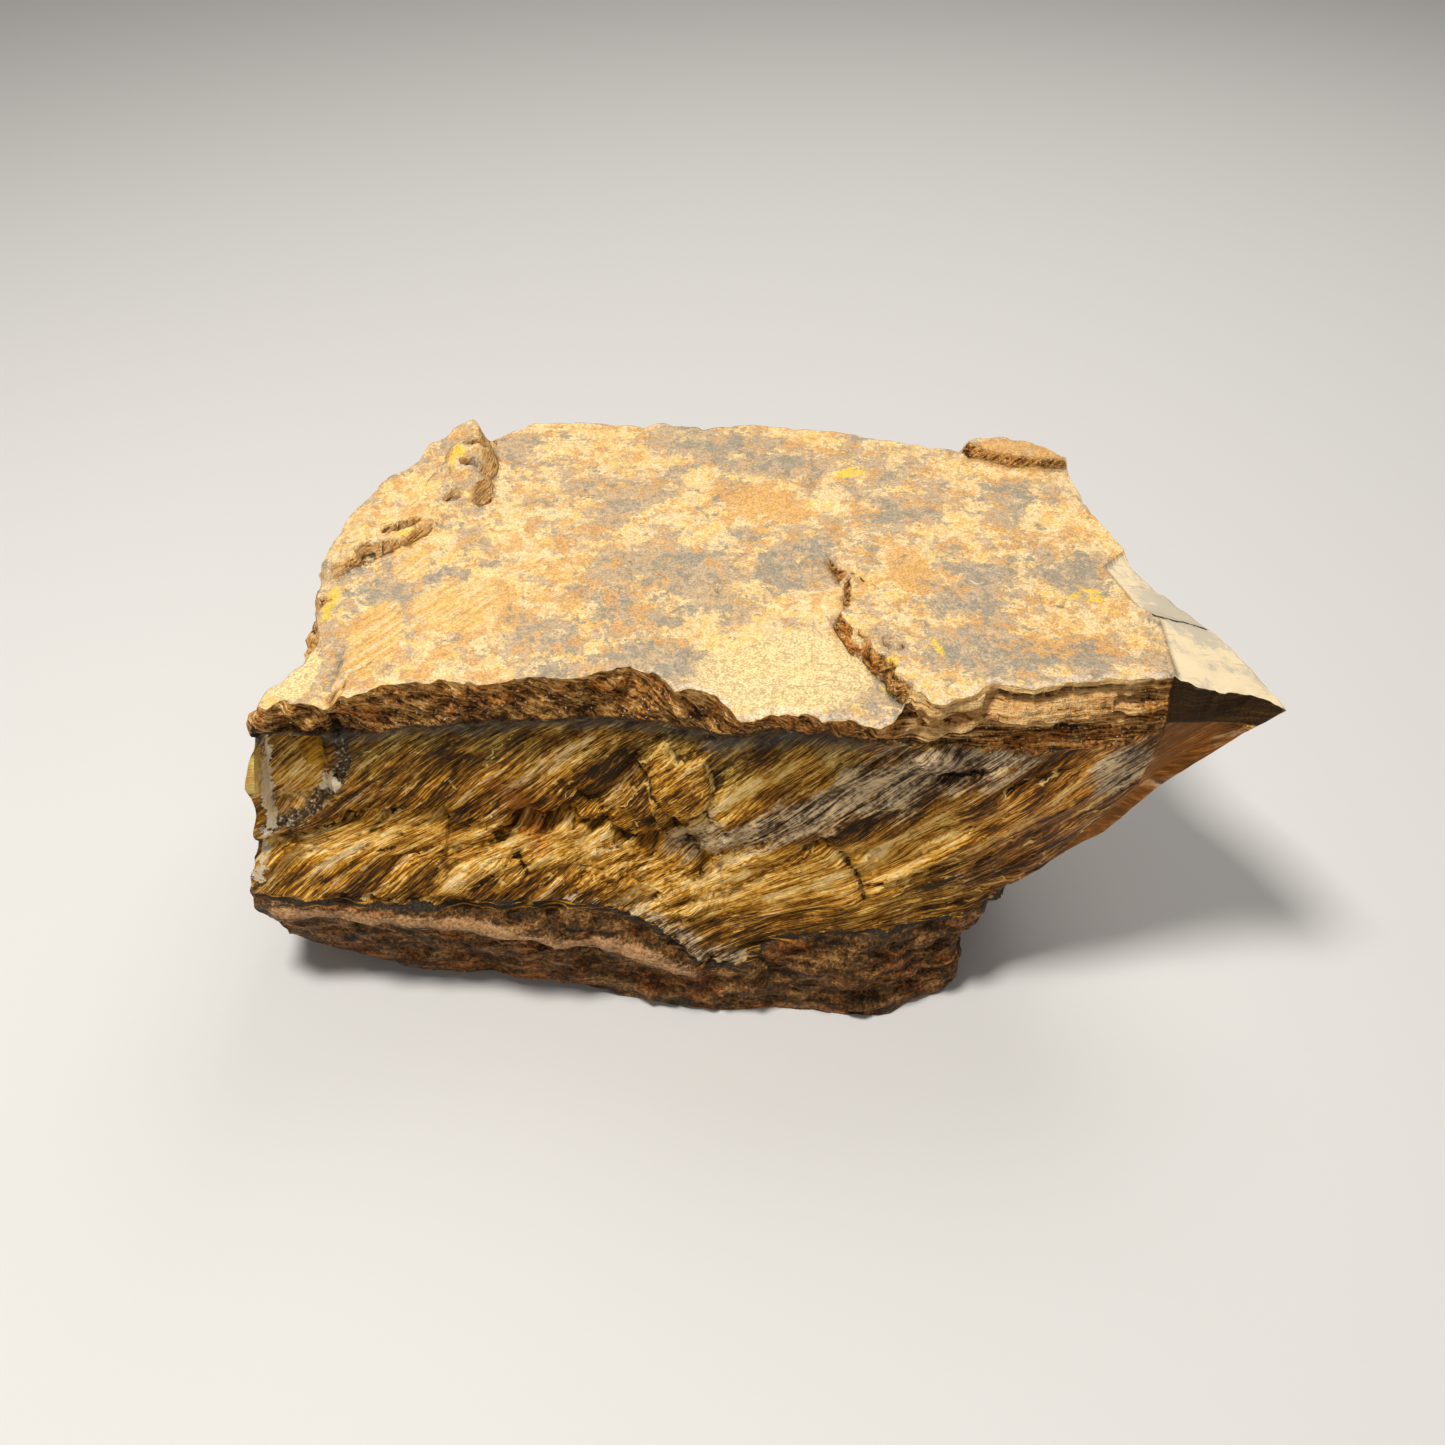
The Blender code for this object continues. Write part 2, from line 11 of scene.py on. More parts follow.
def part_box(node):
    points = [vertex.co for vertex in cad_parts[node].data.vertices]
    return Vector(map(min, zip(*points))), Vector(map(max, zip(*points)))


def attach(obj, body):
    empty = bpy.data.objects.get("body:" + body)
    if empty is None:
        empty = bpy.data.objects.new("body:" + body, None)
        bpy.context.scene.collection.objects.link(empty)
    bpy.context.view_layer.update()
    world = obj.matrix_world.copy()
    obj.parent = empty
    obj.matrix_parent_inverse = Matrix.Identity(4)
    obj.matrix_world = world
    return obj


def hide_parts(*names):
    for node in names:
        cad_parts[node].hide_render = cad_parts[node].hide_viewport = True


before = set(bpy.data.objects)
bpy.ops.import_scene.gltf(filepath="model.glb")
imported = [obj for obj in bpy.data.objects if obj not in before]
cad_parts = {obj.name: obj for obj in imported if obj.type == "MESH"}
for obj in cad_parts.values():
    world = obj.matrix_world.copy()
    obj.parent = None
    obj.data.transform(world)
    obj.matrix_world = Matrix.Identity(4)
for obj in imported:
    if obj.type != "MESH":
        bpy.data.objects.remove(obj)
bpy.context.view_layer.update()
print("frame loaded")

# ---- the stone's form -------------------------------------------------------------------------------------

stone = {
    "name": "roughStone",
    "node": "tigers_eye_stone",
    "slot": "tigers_eye",
    "body": "root",
    "cells": (156, 56, 58),  # along, across and down, before the front and the top are cut finer
    "length": 122.0,
    "width": 58.0,
    # heights of the top
    "crust": 44.8,
    "crustClimb": 1.9,
    "slab": 47.4,
    "lumps": (
        (-3.8, 0.0), (-1.5, 1.5), (4.0, 1.8), (6.5, 0.9), (8.5, 0.4), (11.5, 0.5), (14.0, 2.0), (18.0, 2.8),
        (24.0, 3.4), (30.0, 3.2),
    ),
    "remnant": 1.9,
    "wedgeSlope": 0.31,
    # rims of the top, from corner to corner, as (x, y)
    "frontRim": (
        (-55.3, -26.6), (-53.9, -27.3), (-52.6, -26.2), (-48.9, -26.8), (-46.9, -27.9), (-46.2, -26.4),
        (-44.7, -26.8), (-42.6, -25.5), (-41.4, -24.8), (-37.7, -24.4), (-35.4, -23.4), (-30.1, -24.3),
        (-27.3, -23.5), (-25.6, -22.5), (-21.0, -22.9), (-16.5, -21.7), (-13.3, -20.5), (-12.1, -21.1),
        (-9.4, -23.4), (-8.2, -25.2), (-6.9, -25.0), (-3.3, -26.1), (-2.3, -27.5), (-1.0, -30.4),
        (0.6, -30.2), (2.8, -28.8), (5.3, -29.1), (11.0, -30.3), (14.0, -31.4), (16.1, -30.2),
        (18.1, -27.3), (20.1, -29.9), (21.4, -30.4), (23.2, -29.2), (27.3, -26.5), (29.1, -27.4),
        (31.9, -27.5), (34.8, -26.6), (39.0, -25.8), (44.5, -25.9), (47.4, -24.9), (50.2, -25.8),
        (52.8, -25.5), (57.2, -24.6), (61.0, -25.5),
    ),
    "rightRim": (
        (61.0, -25.5), (59.5, -22.6), (57.3, -17.1), (54.5, -11.3), (51.1, -7.2), (47.7, -2.2),
        (46.7, 1.5), (44.6, 8.9), (43.7, 15.1), (42.9, 20.4),
    ),
    "backRim": (
        (-40.0, 25.6), (-37.4, 26.6), (-33.9, 25.6), (-32.6, 29.9), (-30.0, 31.9), (-25.9, 32.8),
        (-14.5, 32.2), (-11.7, 33.1), (-6.0, 30.9), (-0.4, 32.4), (6.7, 31.6), (12.2, 30.3),
        (16.3, 27.8), (27.0, 24.9), (30.4, 24.1), (35.7, 24.8), (40.2, 22.9), (42.9, 20.4),
    ),
    "leftRim": (
        (-55.3, -26.6), (-54.6, -23.6), (-51.4, -19.5), (-50.5, -15.4), (-52.0, -10.3), (-51.3, -7.8),
        (-52.7, -6.8), (-53.0, -1.8), (-52.5, 3.1), (-51.1, 9.4), (-48.8, 15.3), (-45.9, 18.8),
        (-42.5, 23.3), (-40.0, 25.6),
    ),
    # share of a wall's rows above each course: rim's foot, break top, break foot, seam's foot, ledge lip, base
    "coursesDown": (0.0, 0.14, 0.45, 0.54, 0.71, 0.79, 1.0),
    # lines that cross the top: (y, x) for the first three, (x, y) for the last
    "slabWall": (
        (-27.0, 16.4), (-23.4, 14.6), (-20.0, 13.0), (-17.0, 11.4), (-13.2, 9.6), (-11.4, 10.4),
        (-7.6, 11.8), (-3.0, 10.2), (1.6, 8.4),
    ),
    "slabEnd": (3.0, -5.0),
    "wedgeEdge": ((-25.0, 47.6), (-14.2, 48.0), (-11.4, 45.8), (-3.7, 43.6), (-0.3, 46.3), (3.0, 50.0)),
    "lumpCliff": (
        (-3.4, -49.8), (-1.4, -47.2), (0.0, -43.6), (3.4, -40.4), (7.5, -38.3), (10.4, -37.0),
        (12.4, -33.8), (18.0, -33.0), (24.0, -33.6), (28.0, -35.6),
    ),
    "remnantFront": ((29.0, 24.6), (30.6, 21.6), (35.5, 19.2), (43.5, 18.4)),
    # hollows in the top: x, y, half length, half width, turn in degrees, depth
    "topPits": (
        (-43.6, 4.8, 2.9, 1.3, 25.0, 2.8), (-36.4, 21.0, 1.5, 0.9, 20.0, 1.4), (-36.6, 16.8, 1.3, 0.8, 0.0, 1.3),
        (-34.4, 12.6, 1.6, 1.0, 60.0, 1.5), (-38.4, 12.0, 1.4, 0.7, 30.0, 1.0), (-47.2, -0.4, 1.6, 1.3, 10.0, 1.6),
        (-52.4, -7.4, 2.2, 0.7, 0.0, 1.3), (6.6, 17.4, 3.6, 1.0, -42.0, 0.5), (36.4, -11.2, 2.4, 0.7, -20.0, 0.6),
        (-46.4, -25.2, 2.6, 0.8, 80.0, 0.9), (16.6, -19.4, 1.6, 1.0, -40.0, 0.8),
    ),
    "topDomes": (
        (-50.6, 5.5, 3.4, 8.5, 8.0, 0.8), (-44.6, -0.6, 3.2, 1.6, 25.0, 0.7), (-37.6, 19.0, 2.6, 4.6, 10.0, 0.7),
    ),
    "window": (-56.4, -49.2, 27.8, 38.6),  # the sunk face by the corner: x from and to, z from and to
    "windowDepth": 1.7,
    # the pointed end: a ridge as (z, x), with a sunk facet to its right under the lip
    "ridge": ((20.0, 39.6), (23.1, 41.5), (26.7, 43.8), (30.7, 46.4), (36.2, 47.4), (48.0, 47.4)),
    "lipFoot": 41.2,
    "facetDepth": 1.2,
    # the split crust at the right, as (x, z): gaps that an upper sheet overhangs, with their depth
    "gaps": (
        (((15.5, 46.6), (19.9, 44.8), (22.0, 44.3), (24.4, 44.8), (27.2, 46.9)), 1.1),
        (((17.1, 44.9), (19.9, 43.3), (22.0, 42.6), (25.9, 42.8), (28.4, 43.9)), 1.1),
        (((27.0, 46.8), (31.6, 46.3), (34.5, 46.8), (41.5, 46.7), (47.0, 47.2)), 0.6),
        (((41.2, 44.9), (44.0, 45.4), (47.0, 45.2)), 0.7),
        (((40.4, 43.4), (43.6, 42.6), (46.8, 43.4)), 0.8),
    ),
    # a sheet that leans out between the gaps: x from and to, z from and to, and how far it leans
    "leaningSheet": (27.4, 41.6, 42.6, 46.4, 1.7),
    "knob": ((21.8, 37.0), (3.0, 1.9), 12.0, 1.2),
    "undercut": 1.2,
    "cornerWear": 1.6,
    "cornerCalm": 0.8,  # how much of the fine relief is lost at the upright edges
    "restMiddle": (-6.0, 1.0),
    "restRadius": 11.0,
    "hollowDepth": 0.9,
}

# the walls' stations: the key is where the rim is above them, then a point on each course
stone["front"] = {
    -55.3: ((-56.6, -27.6, 39.6), (-58.4, -28.0, 27.3), (-59.2, -28.6, 23.4),
            (-61.0, -28.5, 15.4), (-60.6, -29.0, 12.0), (-58.3, -27.0, 5.8)),
    -45.8: ((-46.3, -26.2, 38.9), (-49.5, -26.5, 25.7), (-49.4, -29.0, 22.2),
            (-49.6, -30.0, 16.6), (-48.9, -30.6, 12.5), (-51.4, -28.0, 3.9)),
    -36.0: ((-36.3, -24.6, 38.5), (-37.7, -25.0, 25.5), (-37.6, -28.8, 21.5),
            (-38.0, -30.0, 16.3), (-38.4, -31.2, 11.7), (-39.9, -29.0, 1.9)),
    -22.7: ((-22.8, -22.6, 38.2), (-23.7, -24.0, 23.4), (-23.4, -28.6, 21.0),
            (-23.7, -30.0, 15.1), (-23.7, -32.0, 12.1), (-24.6, -30.5, 1.5)),
    -14.1: ((-13.5, -22.6, 38.1), (-14.0, -24.5, 21.4), (-13.8, -28.8, 18.4),
            (-14.0, -31.0, 12.4), (-13.9, -32.6, 10.0), (-14.3, -32.0, 0.0)),
    -3.4: ((-3.0, -25.8, 38.8), (-3.3, -27.0, 18.2), (-3.2, -31.2, 14.6),
           (-3.2, -32.8, 9.8), (-3.2, -34.0, 7.2), (-3.2, -33.5, 0.0)),
    4.9: ((5.2, -26.6, 39.9), (6.0, -27.8, 18.6), (5.9, -31.4, 15.8),
          (6.0, -33.0, 10.6), (6.1, -34.4, 7.9), (6.4, -33.5, 0.0)),
    15.6: ((15.8, -28.3, 39.8), (15.4, -28.9, 22.0), (14.2, -31.4, 18.0),
           (14.5, -33.0, 12.8), (15.3, -34.4, 9.0), (15.9, -34.8, 0.0)),
    28.2: ((28.8, -28.5, 39.1), (25.9, -29.2, 24.3), (24.6, -30.2, 20.0),
           (23.2, -30.6, 13.6), (24.0, -31.0, 8.8), (24.0, -31.0, 0.0)),
    40.8: ((40.9, -27.5, 38.7), (37.7, -27.4, 27.4), (35.0, -27.2, 21.8),
           (29.6, -28.6, 13.8), (26.8, -29.0, 8.2), (26.4, -29.4, 0.0)),
    47.1: ((47.7, -26.2, 40.4), (45.6, -25.0, 27.6), (41.0, -24.6, 21.2),
           (32.2, -26.0, 13.6), (27.6, -27.0, 7.2), (27.2, -27.6, 0.0)),
    61.0: ((57.4, -25.9, 40.3), (49.8, -22.8, 28.6), (45.1, -21.0, 19.6),
           (37.0, -20.4, 12.0), (29.2, -23.6, 6.4), (28.1, -24.6, 0.0)),
}
stone["right"] = {
    -25.5: stone["front"][61.0],
    -11.6: ((51.2, -12.4, 39.4), (45.0, -12.0, 28.6), (42.4, -12.0, 22.4),
            (36.6, -12.6, 12.6), (33.4, -12.6, 8.4), (29.4, -13.4, 0.0)),
    1.5: ((44.6, 1.5, 40.2), (41.2, 1.6, 29.4), (39.4, 2.0, 23.6),
          (36.6, 2.4, 14.6), (35.8, 2.8, 10.2), (31.4, 3.0, 0.0)),
    12.0: ((42.2, 12.6, 40.4), (39.4, 13.2, 29.8), (37.6, 13.6, 24.4),
           (35.2, 14.2, 15.8), (35.6, 14.6, 10.6), (31.8, 14.2, 0.0)),
    20.4: ((41.0, 21.6, 40.8), (37.4, 23.6, 30.2), (35.4, 24.4, 24.8),
           (33.0, 25.4, 16.2), (33.6, 26.4, 11.2), (30.4, 24.8, 0.0)),
}
stone["back"] = {
    -40.0: ((-41.4, 26.6, 40.0), (-43.4, 28.4, 28.2), (-44.2, 29.0, 23.2),
            (-45.4, 30.0, 15.2), (-46.0, 30.6, 10.6), (-43.0, 28.4, 0.0)),
    -33.9: ((-33.6, 28.8, 39.4), (-34.2, 30.4, 28.4), (-34.6, 31.6, 23.0),
            (-35.2, 33.0, 15.0), (-35.6, 33.6, 10.4), (-34.2, 30.8, 0.0)),
    -20.0: ((-20.2, 32.4, 39.2), (-20.6, 30.6, 27.2), (-21.0, 32.6, 22.2),
            (-21.2, 33.4, 14.4), (-21.6, 34.2, 10.0), (-21.2, 31.4, 0.0)),
    -6.0: ((-6.0, 31.2, 38.8), (-6.4, 29.6, 25.6), (-6.6, 32.4, 21.6),
           (-6.6, 33.6, 13.8), (-6.6, 34.4, 9.4), (-7.0, 31.4, 0.0)),
    12.0: ((11.8, 30.2, 39.4), (11.2, 29.4, 27.6), (10.6, 31.4, 22.8),
           (10.4, 33.0, 14.6), (11.0, 34.0, 10.2), (10.0, 31.6, 0.0)),
    27.0: ((26.4, 25.8, 40.4), (24.4, 27.4, 29.4), (23.6, 29.0, 24.2),
           (22.6, 31.0, 15.6), (23.2, 32.2, 11.0), (21.2, 30.2, 0.0)),
    42.9: stone["right"][20.4],
}
stone["left"] = {
    -26.6: stone["front"][-55.3],
    -15.0: ((-53.4, -15.6, 38.6), (-57.2, -16.4, 28.2), (-58.8, -16.8, 23.0),
            (-60.2, -17.0, 15.8), (-60.4, -17.0, 12.2), (-56.4, -16.0, 2.4)),
    -4.0: ((-54.6, -4.0, 38.4), (-55.6, -4.0, 27.0), (-57.4, -4.0, 22.4),
           (-58.2, -4.0, 14.8), (-59.2, -4.0, 11.0), (-55.4, -4.0, 0.0)),
    8.0: ((-53.0, 8.6, 39.0), (-54.6, 9.6, 28.4), (-55.4, 10.0, 23.0),
          (-57.0, 10.6, 14.4), (-57.6, 11.0, 10.4), (-54.0, 10.0, 0.0)),
    18.0: ((-47.6, 18.6, 39.6), (-50.4, 20.2, 27.4), (-51.6, 20.8, 22.2),
           (-52.4, 21.6, 15.0), (-53.2, 22.2, 11.0), (-49.4, 20.4, 0.0)),
    25.6: stone["back"][-40.0],
}
wallRims = {
    "front": stone["frontRim"],
    "back": stone["backRim"],
    "left": tuple((y, x) for x, y in stone["leftRim"]),
    "right": tuple(sorted((y, x) for x, y in stone["rightRim"])),
}
wallStations = {}
for wallName in wallRims:
    wallStations[wallName] = sorted(
        (key, [Vector(point) for point in points]) for key, points in stone[wallName].items()
    )


def share(value, low, high):
    part = min(max((value - low) / (high - low), 0.0), 1.0)
    return part * part * (3.0 - 2.0 * part)


def wave(place, size, seed=0.0):
    # soft noise from -1 to 1 with waves of this many millimetres
    return noise.noise(Vector((place[0] / size, place[1] / size, place[2] / size + seed)))


def brokenLine(points, key):
    for (keyA, a), (keyB, b) in zip(points, points[1:]):
        if key <= keyB:
            return a + (b - a) * min(max((key - keyA) / (keyB - keyA), 0.0), 1.0)
    return points[-1][1]


def distanceToLine(x, z, line):
    nearest = 1000.0
    for (xa, za), (xb, zb) in zip(line, line[1:]):
        runX, runZ = xb - xa, zb - za
        part = min(max(((x - xa) * runX + (z - za) * runZ) / (runX * runX + runZ * runZ), 0.0), 1.0)
        nearest = min(nearest, math.hypot(x - xa - runX * part, z - za - runZ * part))
    return nearest


def nearLine(x, z, line, reach):
    return 1.0 - share(distanceToLine(x, z, line), 0.35 * reach, reach)


def spot(x, y, middle, radii, turn=0.0):
    cos, sin = math.cos(math.radians(turn)), math.sin(math.radians(turn))
    along = ((x - middle[0]) * cos + (y - middle[1]) * sin) / radii[0]
    across = ((y - middle[1]) * cos - (x - middle[0]) * sin) / radii[1]
    return 1.0 - share(along * along + across * across, 0.25, 1.3)


def splinters(along, across, depth, length, width, seed, soft=0.3):
    # broken slivers side by side, each at its own height and tilt, from about -1 to 1
    place = Vector((along / length, across / width, depth / (4.0 * width) + seed))
    distances, points = noise.voronoi(place)
    heights = []
    for point in points[:2]:
        height = 2.0 * noise.cell(point * 37.0) - 1.0
        tilt = 2.0 * noise.cell(point * 53.0) - 1.0
        heights.append(height + 0.9 * tilt * (place.y - point.y))
    border = 0.5 * (1.0 - share(distances[1] - distances[0], 0.0, soft))
    return heights[0] + (heights[1] - heights[0]) * border


def spots(x, y, places):
    height = 0.0
    for middleX, middleY, length, width, turn, size in places:
        if abs(x - middleX) < 10.0 and abs(y - middleY) < 10.0:
            height += size * spot(x, y, (middleX, middleY), (length, width), turn)
    return height


def stairs(value, steps):
    # a rise from 0 to 1 in a few flat steps
    scaled = value * steps
    return (math.floor(scaled) + share(scaled - math.floor(scaled), 0.55, 1.0)) / steps


def topHeight(x, y, fromRim=9.0):
    grain = noise.noise(Vector((x / 3.1, y / 3.1, 4.0)))
    climb = stone["crustClimb"] * share(y, -24.0, 22.0)
    wall = brokenLine(stone["slabWall"], y) + 0.45 * noise.noise(Vector((x / 2.4, y / 2.4, 3.0)))
    proud = share(y, *stone["slabEnd"])
    run = 1.0 + 1.5 * share(grain, -0.2, 0.5)
    rise = share(x, wall, wall + run)
    if run > 1.3:
        rise = stairs(rise, 3)
    onSlab = proud * rise + (1.0 - proud) * share(x, -8.0, 20.0)
    z = stone["crust"] + climb + (stone["slab"] - stone["crust"] - climb) * onSlab
    edge = brokenLine(stone["wedgeEdge"], y)
    z -= max(x - edge, 0.0) * stone["wedgeSlope"] + 0.25 * share(x, edge, edge + 0.9)
    z += stone["remnant"] * share(y - brokenLine(stone["remnantFront"], x), 0.0, 1.8) * share(x, 28.0, 31.0)
    cliff = brokenLine(stone["lumpCliff"], y) + 0.9 * grain
    height = brokenLine(stone["lumps"], y)
    knobs = 1.1 * noise.noise(Vector((x / 4.6, y / 4.6, 9.0))) + 0.45 * noise.noise(Vector((x / 2.0, y / 2.0, 5.0)))
    lump = share(cliff - x, 0.0, 1.1 + 0.4 * height)
    z += lump * (height * (1.0 - 0.083 * max(cliff - 3.0 - x, 0.0)) + knobs * share(height, 0.0, 3.0))
    z += spots(x, y, stone["topDomes"])
    z -= 0.34 * max(-48.6 - x, 0.0) * (1.0 - share(y, 14.0, 24.0))
    block = share(-46.2 - x, 0.0, 1.2) * share(-17.6 - y, 0.0, 2.4)
    z += block * (0.9 - 0.22 * (x + 56.0))
    z -= spots(x, y, stone["topPits"])
    chip = max(noise.noise(Vector((x / 2.2, y / 2.2, 8.0))) + 0.1, 0.0)
    z -= 0.5 * chip * (1.0 - share(fromRim, 0.0, 1.3))
    onWedge = share(x, edge, edge + 1.0)
    plates = splinters(x, y, 0.0, 9.0, 6.0, 2.0)
    z += (0.10 * plates + 0.07 * noise.noise(Vector((x / 1.2, y / 1.2, 1.0)))) * (1.0 - 0.8 * onWedge)
    return z + 0.30 * noise.noise(Vector((x / 9.0, y / 9.0, 2.0))) + 0.16 * grain


@functools.lru_cache(maxsize=None)
def rimPoint(wall, key):
    other = brokenLine(wallRims[wall], key)
    x, y = (key, other) if wall in ("front", "back") else (other, key)
    jag = 0.18 * wave((key, 0.0, 0.0), 1.3, 2.0) + 0.32 * wave((key, 0.0, 0.0), 2.6, 6.0)
    jag += 0.26 * (noise.cell(Vector((key / 1.1, 4.0, 0.0))) - 0.5)
    ends = (key - wallRims[wall][0][0], wallRims[wall][-1][0] - key)
    y += jag * share(min(ends), 0.0, 2.0) if wall == "front" else 0.0
    return Vector((x, y, topHeight(x, y, 0.0)))


@functools.lru_cache(maxsize=None)
def coursePoint(wall, key, course):
    # a smooth curve through the wall's stations
    stations = wallStations[wall]
    last = len(stations) - 1
    i = max(min(sum(station[0] <= key for station in stations) - 1, last - 1), 0)
    span = stations[i + 1][0] - stations[i][0]
    part = min(max((key - stations[i][0]) / span, 0.0), 1.0)
    before, after = stations[max(i - 1, 0)], stations[min(i + 2, last)]
    here, there = stations[i], stations[i + 1]
    slopeA = (there[1][course] - before[1][course]) / (there[0] - before[0]) * span
    slopeB = (after[1][course] - here[1][course]) / (after[0] - here[0]) * span
    square, cube = part * part, part * part * part
    return (
        here[1][course] * (2 * cube - 3 * square + 1)
        + slopeA * (cube - 2 * square + part)
        + there[1][course] * (3 * square - 2 * cube)
        + slopeB * (cube - square)
    )


@functools.lru_cache(maxsize=None)
def wallPoint(wall, part, down):
    stations, courses = wallStations[wall], stone["coursesDown"]
    key = round(stations[0][0] + (stations[-1][0] - stations[0][0]) * part, 4)
    i = max(min(sum(course <= down for course in courses) - 1, len(courses) - 2), 0)
    upper = rimPoint(wall, key) if i == 0 else coursePoint(wall, key, i - 1)
    return upper.lerp(coursePoint(wall, key, i), (down - courses[i]) / (courses[i + 1] - courses[i]))


def patchPoint(across, back, down):
    # the top or the base, stretched between the four walls
    front, rear = wallPoint("front", across, down), wallPoint("back", across, down)
    left, right = wallPoint("left", back, down), wallPoint("right", back, down)
    corners = (
        wallPoint("front", 0.0, down) * (1.0 - across) * (1.0 - back)
        + wallPoint("front", 1.0, down) * across * (1.0 - back)
        + wallPoint("back", 0.0, down) * (1.0 - across) * back
        + wallPoint("back", 1.0, down) * across * back
    )
    return front * (1.0 - back) + rear * back + left * (1.0 - across) + right * across - corners


def sideOf(co):
    if co.y < -0.9999:
        return "front"
    if co.y > 0.9999:
        return "back"
    if co.x < -0.9999:
        return "left"
    if co.x > 0.9999:
        return "right"
    return "top" if co.z > 0.9999 else "base"


def formPoint(co, side):
    across, back, down = (round(value, 5) for value in ((co.x + 1) / 2, (co.y + 1) / 2, (1 - co.z) / 2))
    if side in ("front", "back"):
        return wallPoint(side, across, down)
    if side in ("left", "right"):
        return wallPoint(side, back, down)
    point = patchPoint(across, back, down)
    inside = min(across, 1.0 - across, back, 1.0 - back)
    if side == "top":
        fromRim = min(stone["length"] * min(across, 1.0 - across), stone["width"] * min(back, 1.0 - back))
        point.z = topHeight(point.x, point.y, fromRim)
        return point
    fromRest = (point.xy - Vector(stone["restMiddle"])).length
    hollow = stone["hollowDepth"] * share(noise.noise(Vector((point.x / 14.0, point.y / 14.0, 6.0))), 0.1, 0.5)
    hollow *= share(inside, 0.0, 0.1) * share(fromRest, stone["restRadius"], stone["restRadius"] + 5.0)
    point.z = max(point.z * (1.0 - share(inside, 0.0, 0.3)), hollow)
    return point


# ---- how the fibres lie -----------------------------------------------------------------------------------

fibres = {
    # lean of the fibres above the horizon in degrees, by height
    "leanLeft": ((0.0, 42.0), (15.0, 46.0), (18.0, 47.0), (20.0, 37.0), (22.5, 31.0), (24.5, 31.0), (27.0, 42.0),
                 (31.0, 45.0), (36.0, 39.0), (39.0, 30.0), (52.0, 30.0)),
    "leanRight": ((0.0, 20.0), (12.0, 18.0), (16.0, 24.0), (20.0, 33.0), (25.0, 43.0), (38.0, 42.0), (52.0, 38.0)),
    "turnFrom": -26.0,  # x where the left lean starts to give way
    "turnTo": 4.0,
    "zero": 28.0,  # height where both leans meet
    "step": 0.25,
    "sideRun": 0.9,
    "slope": 0.8,  # the front's run towards the back counts as this much height
    "slopeFrom": -27.0,
    "strokes": -30.0,  # slant of the torn strokes in the rim, which lie level where the crust is split
    "split": (12.0, 18.0),
    "pivot": (14.0, 44.0),
}


def leanTable(leans):
    # sums of the run along x and along the fibre from z = 0 up, every step
    runs, lengths, z = [0.0], [0.0], 0.0
    while z < 60.0:
        lean = math.radians(brokenLine(leans, z))
        runs.append(runs[-1] + fibres["step"] / math.tan(lean))
        lengths.append(lengths[-1] + fibres["step"] / math.sin(lean))
        z += fibres["step"]
    return runs, lengths


leanTables = (leanTable(fibres["leanLeft"]), leanTable(fibres["leanRight"]))


def lookUp(table, z):
    scaled = min(max(z, 0.0), 59.0) / fibres["step"]
    i = int(scaled)
    return table[i] + (table[i + 1] - table[i]) * (scaled - i)


def fibrePlace(co, side):
    # along, across and through the fibres, in millimetres
    around = co.x if side in ("front", "back", "top", "base") else -co.y * fibres["sideRun"]
    up = co.z + fibres["slope"] * (co.y - fibres["slopeFrom"]) if side == "front" else co.z
    turn = share(co.x, fibres["turnFrom"], fibres["turnTo"])
    runs, lengths = [], []
    for run, length in leanTables:
        runs.append(lookUp(run, up) - lookUp(run, fibres["zero"]))
        lengths.append(lookUp(length, up))
    run = runs[0] * (1.0 - turn) + runs[1] * turn
    along = lengths[0] * (1.0 - turn) + lengths[1] * turn
    through = co.y if side in ("front", "back", "top", "base") else co.x
    return Vector((along, (around - run) * 0.66, through))


def strokePlace(co, side):
    around = (co.x if side in ("front", "back", "top", "base") else co.y) - fibres["pivot"][0]
    up = co.z - fibres["pivot"][1]
    split = share(co.x, *fibres["split"]) if side == "front" else 0.6
    turn = math.radians(fibres["strokes"] * (1.0 - split))
    cos, sin = math.cos(turn), math.sin(turn)
    return Vector(((around * cos + up * sin) * (1.0 - 0.65 * split), up * cos - around * sin, co.y))


# ---- marks of the front and the top -----------------------------------------------------------------------

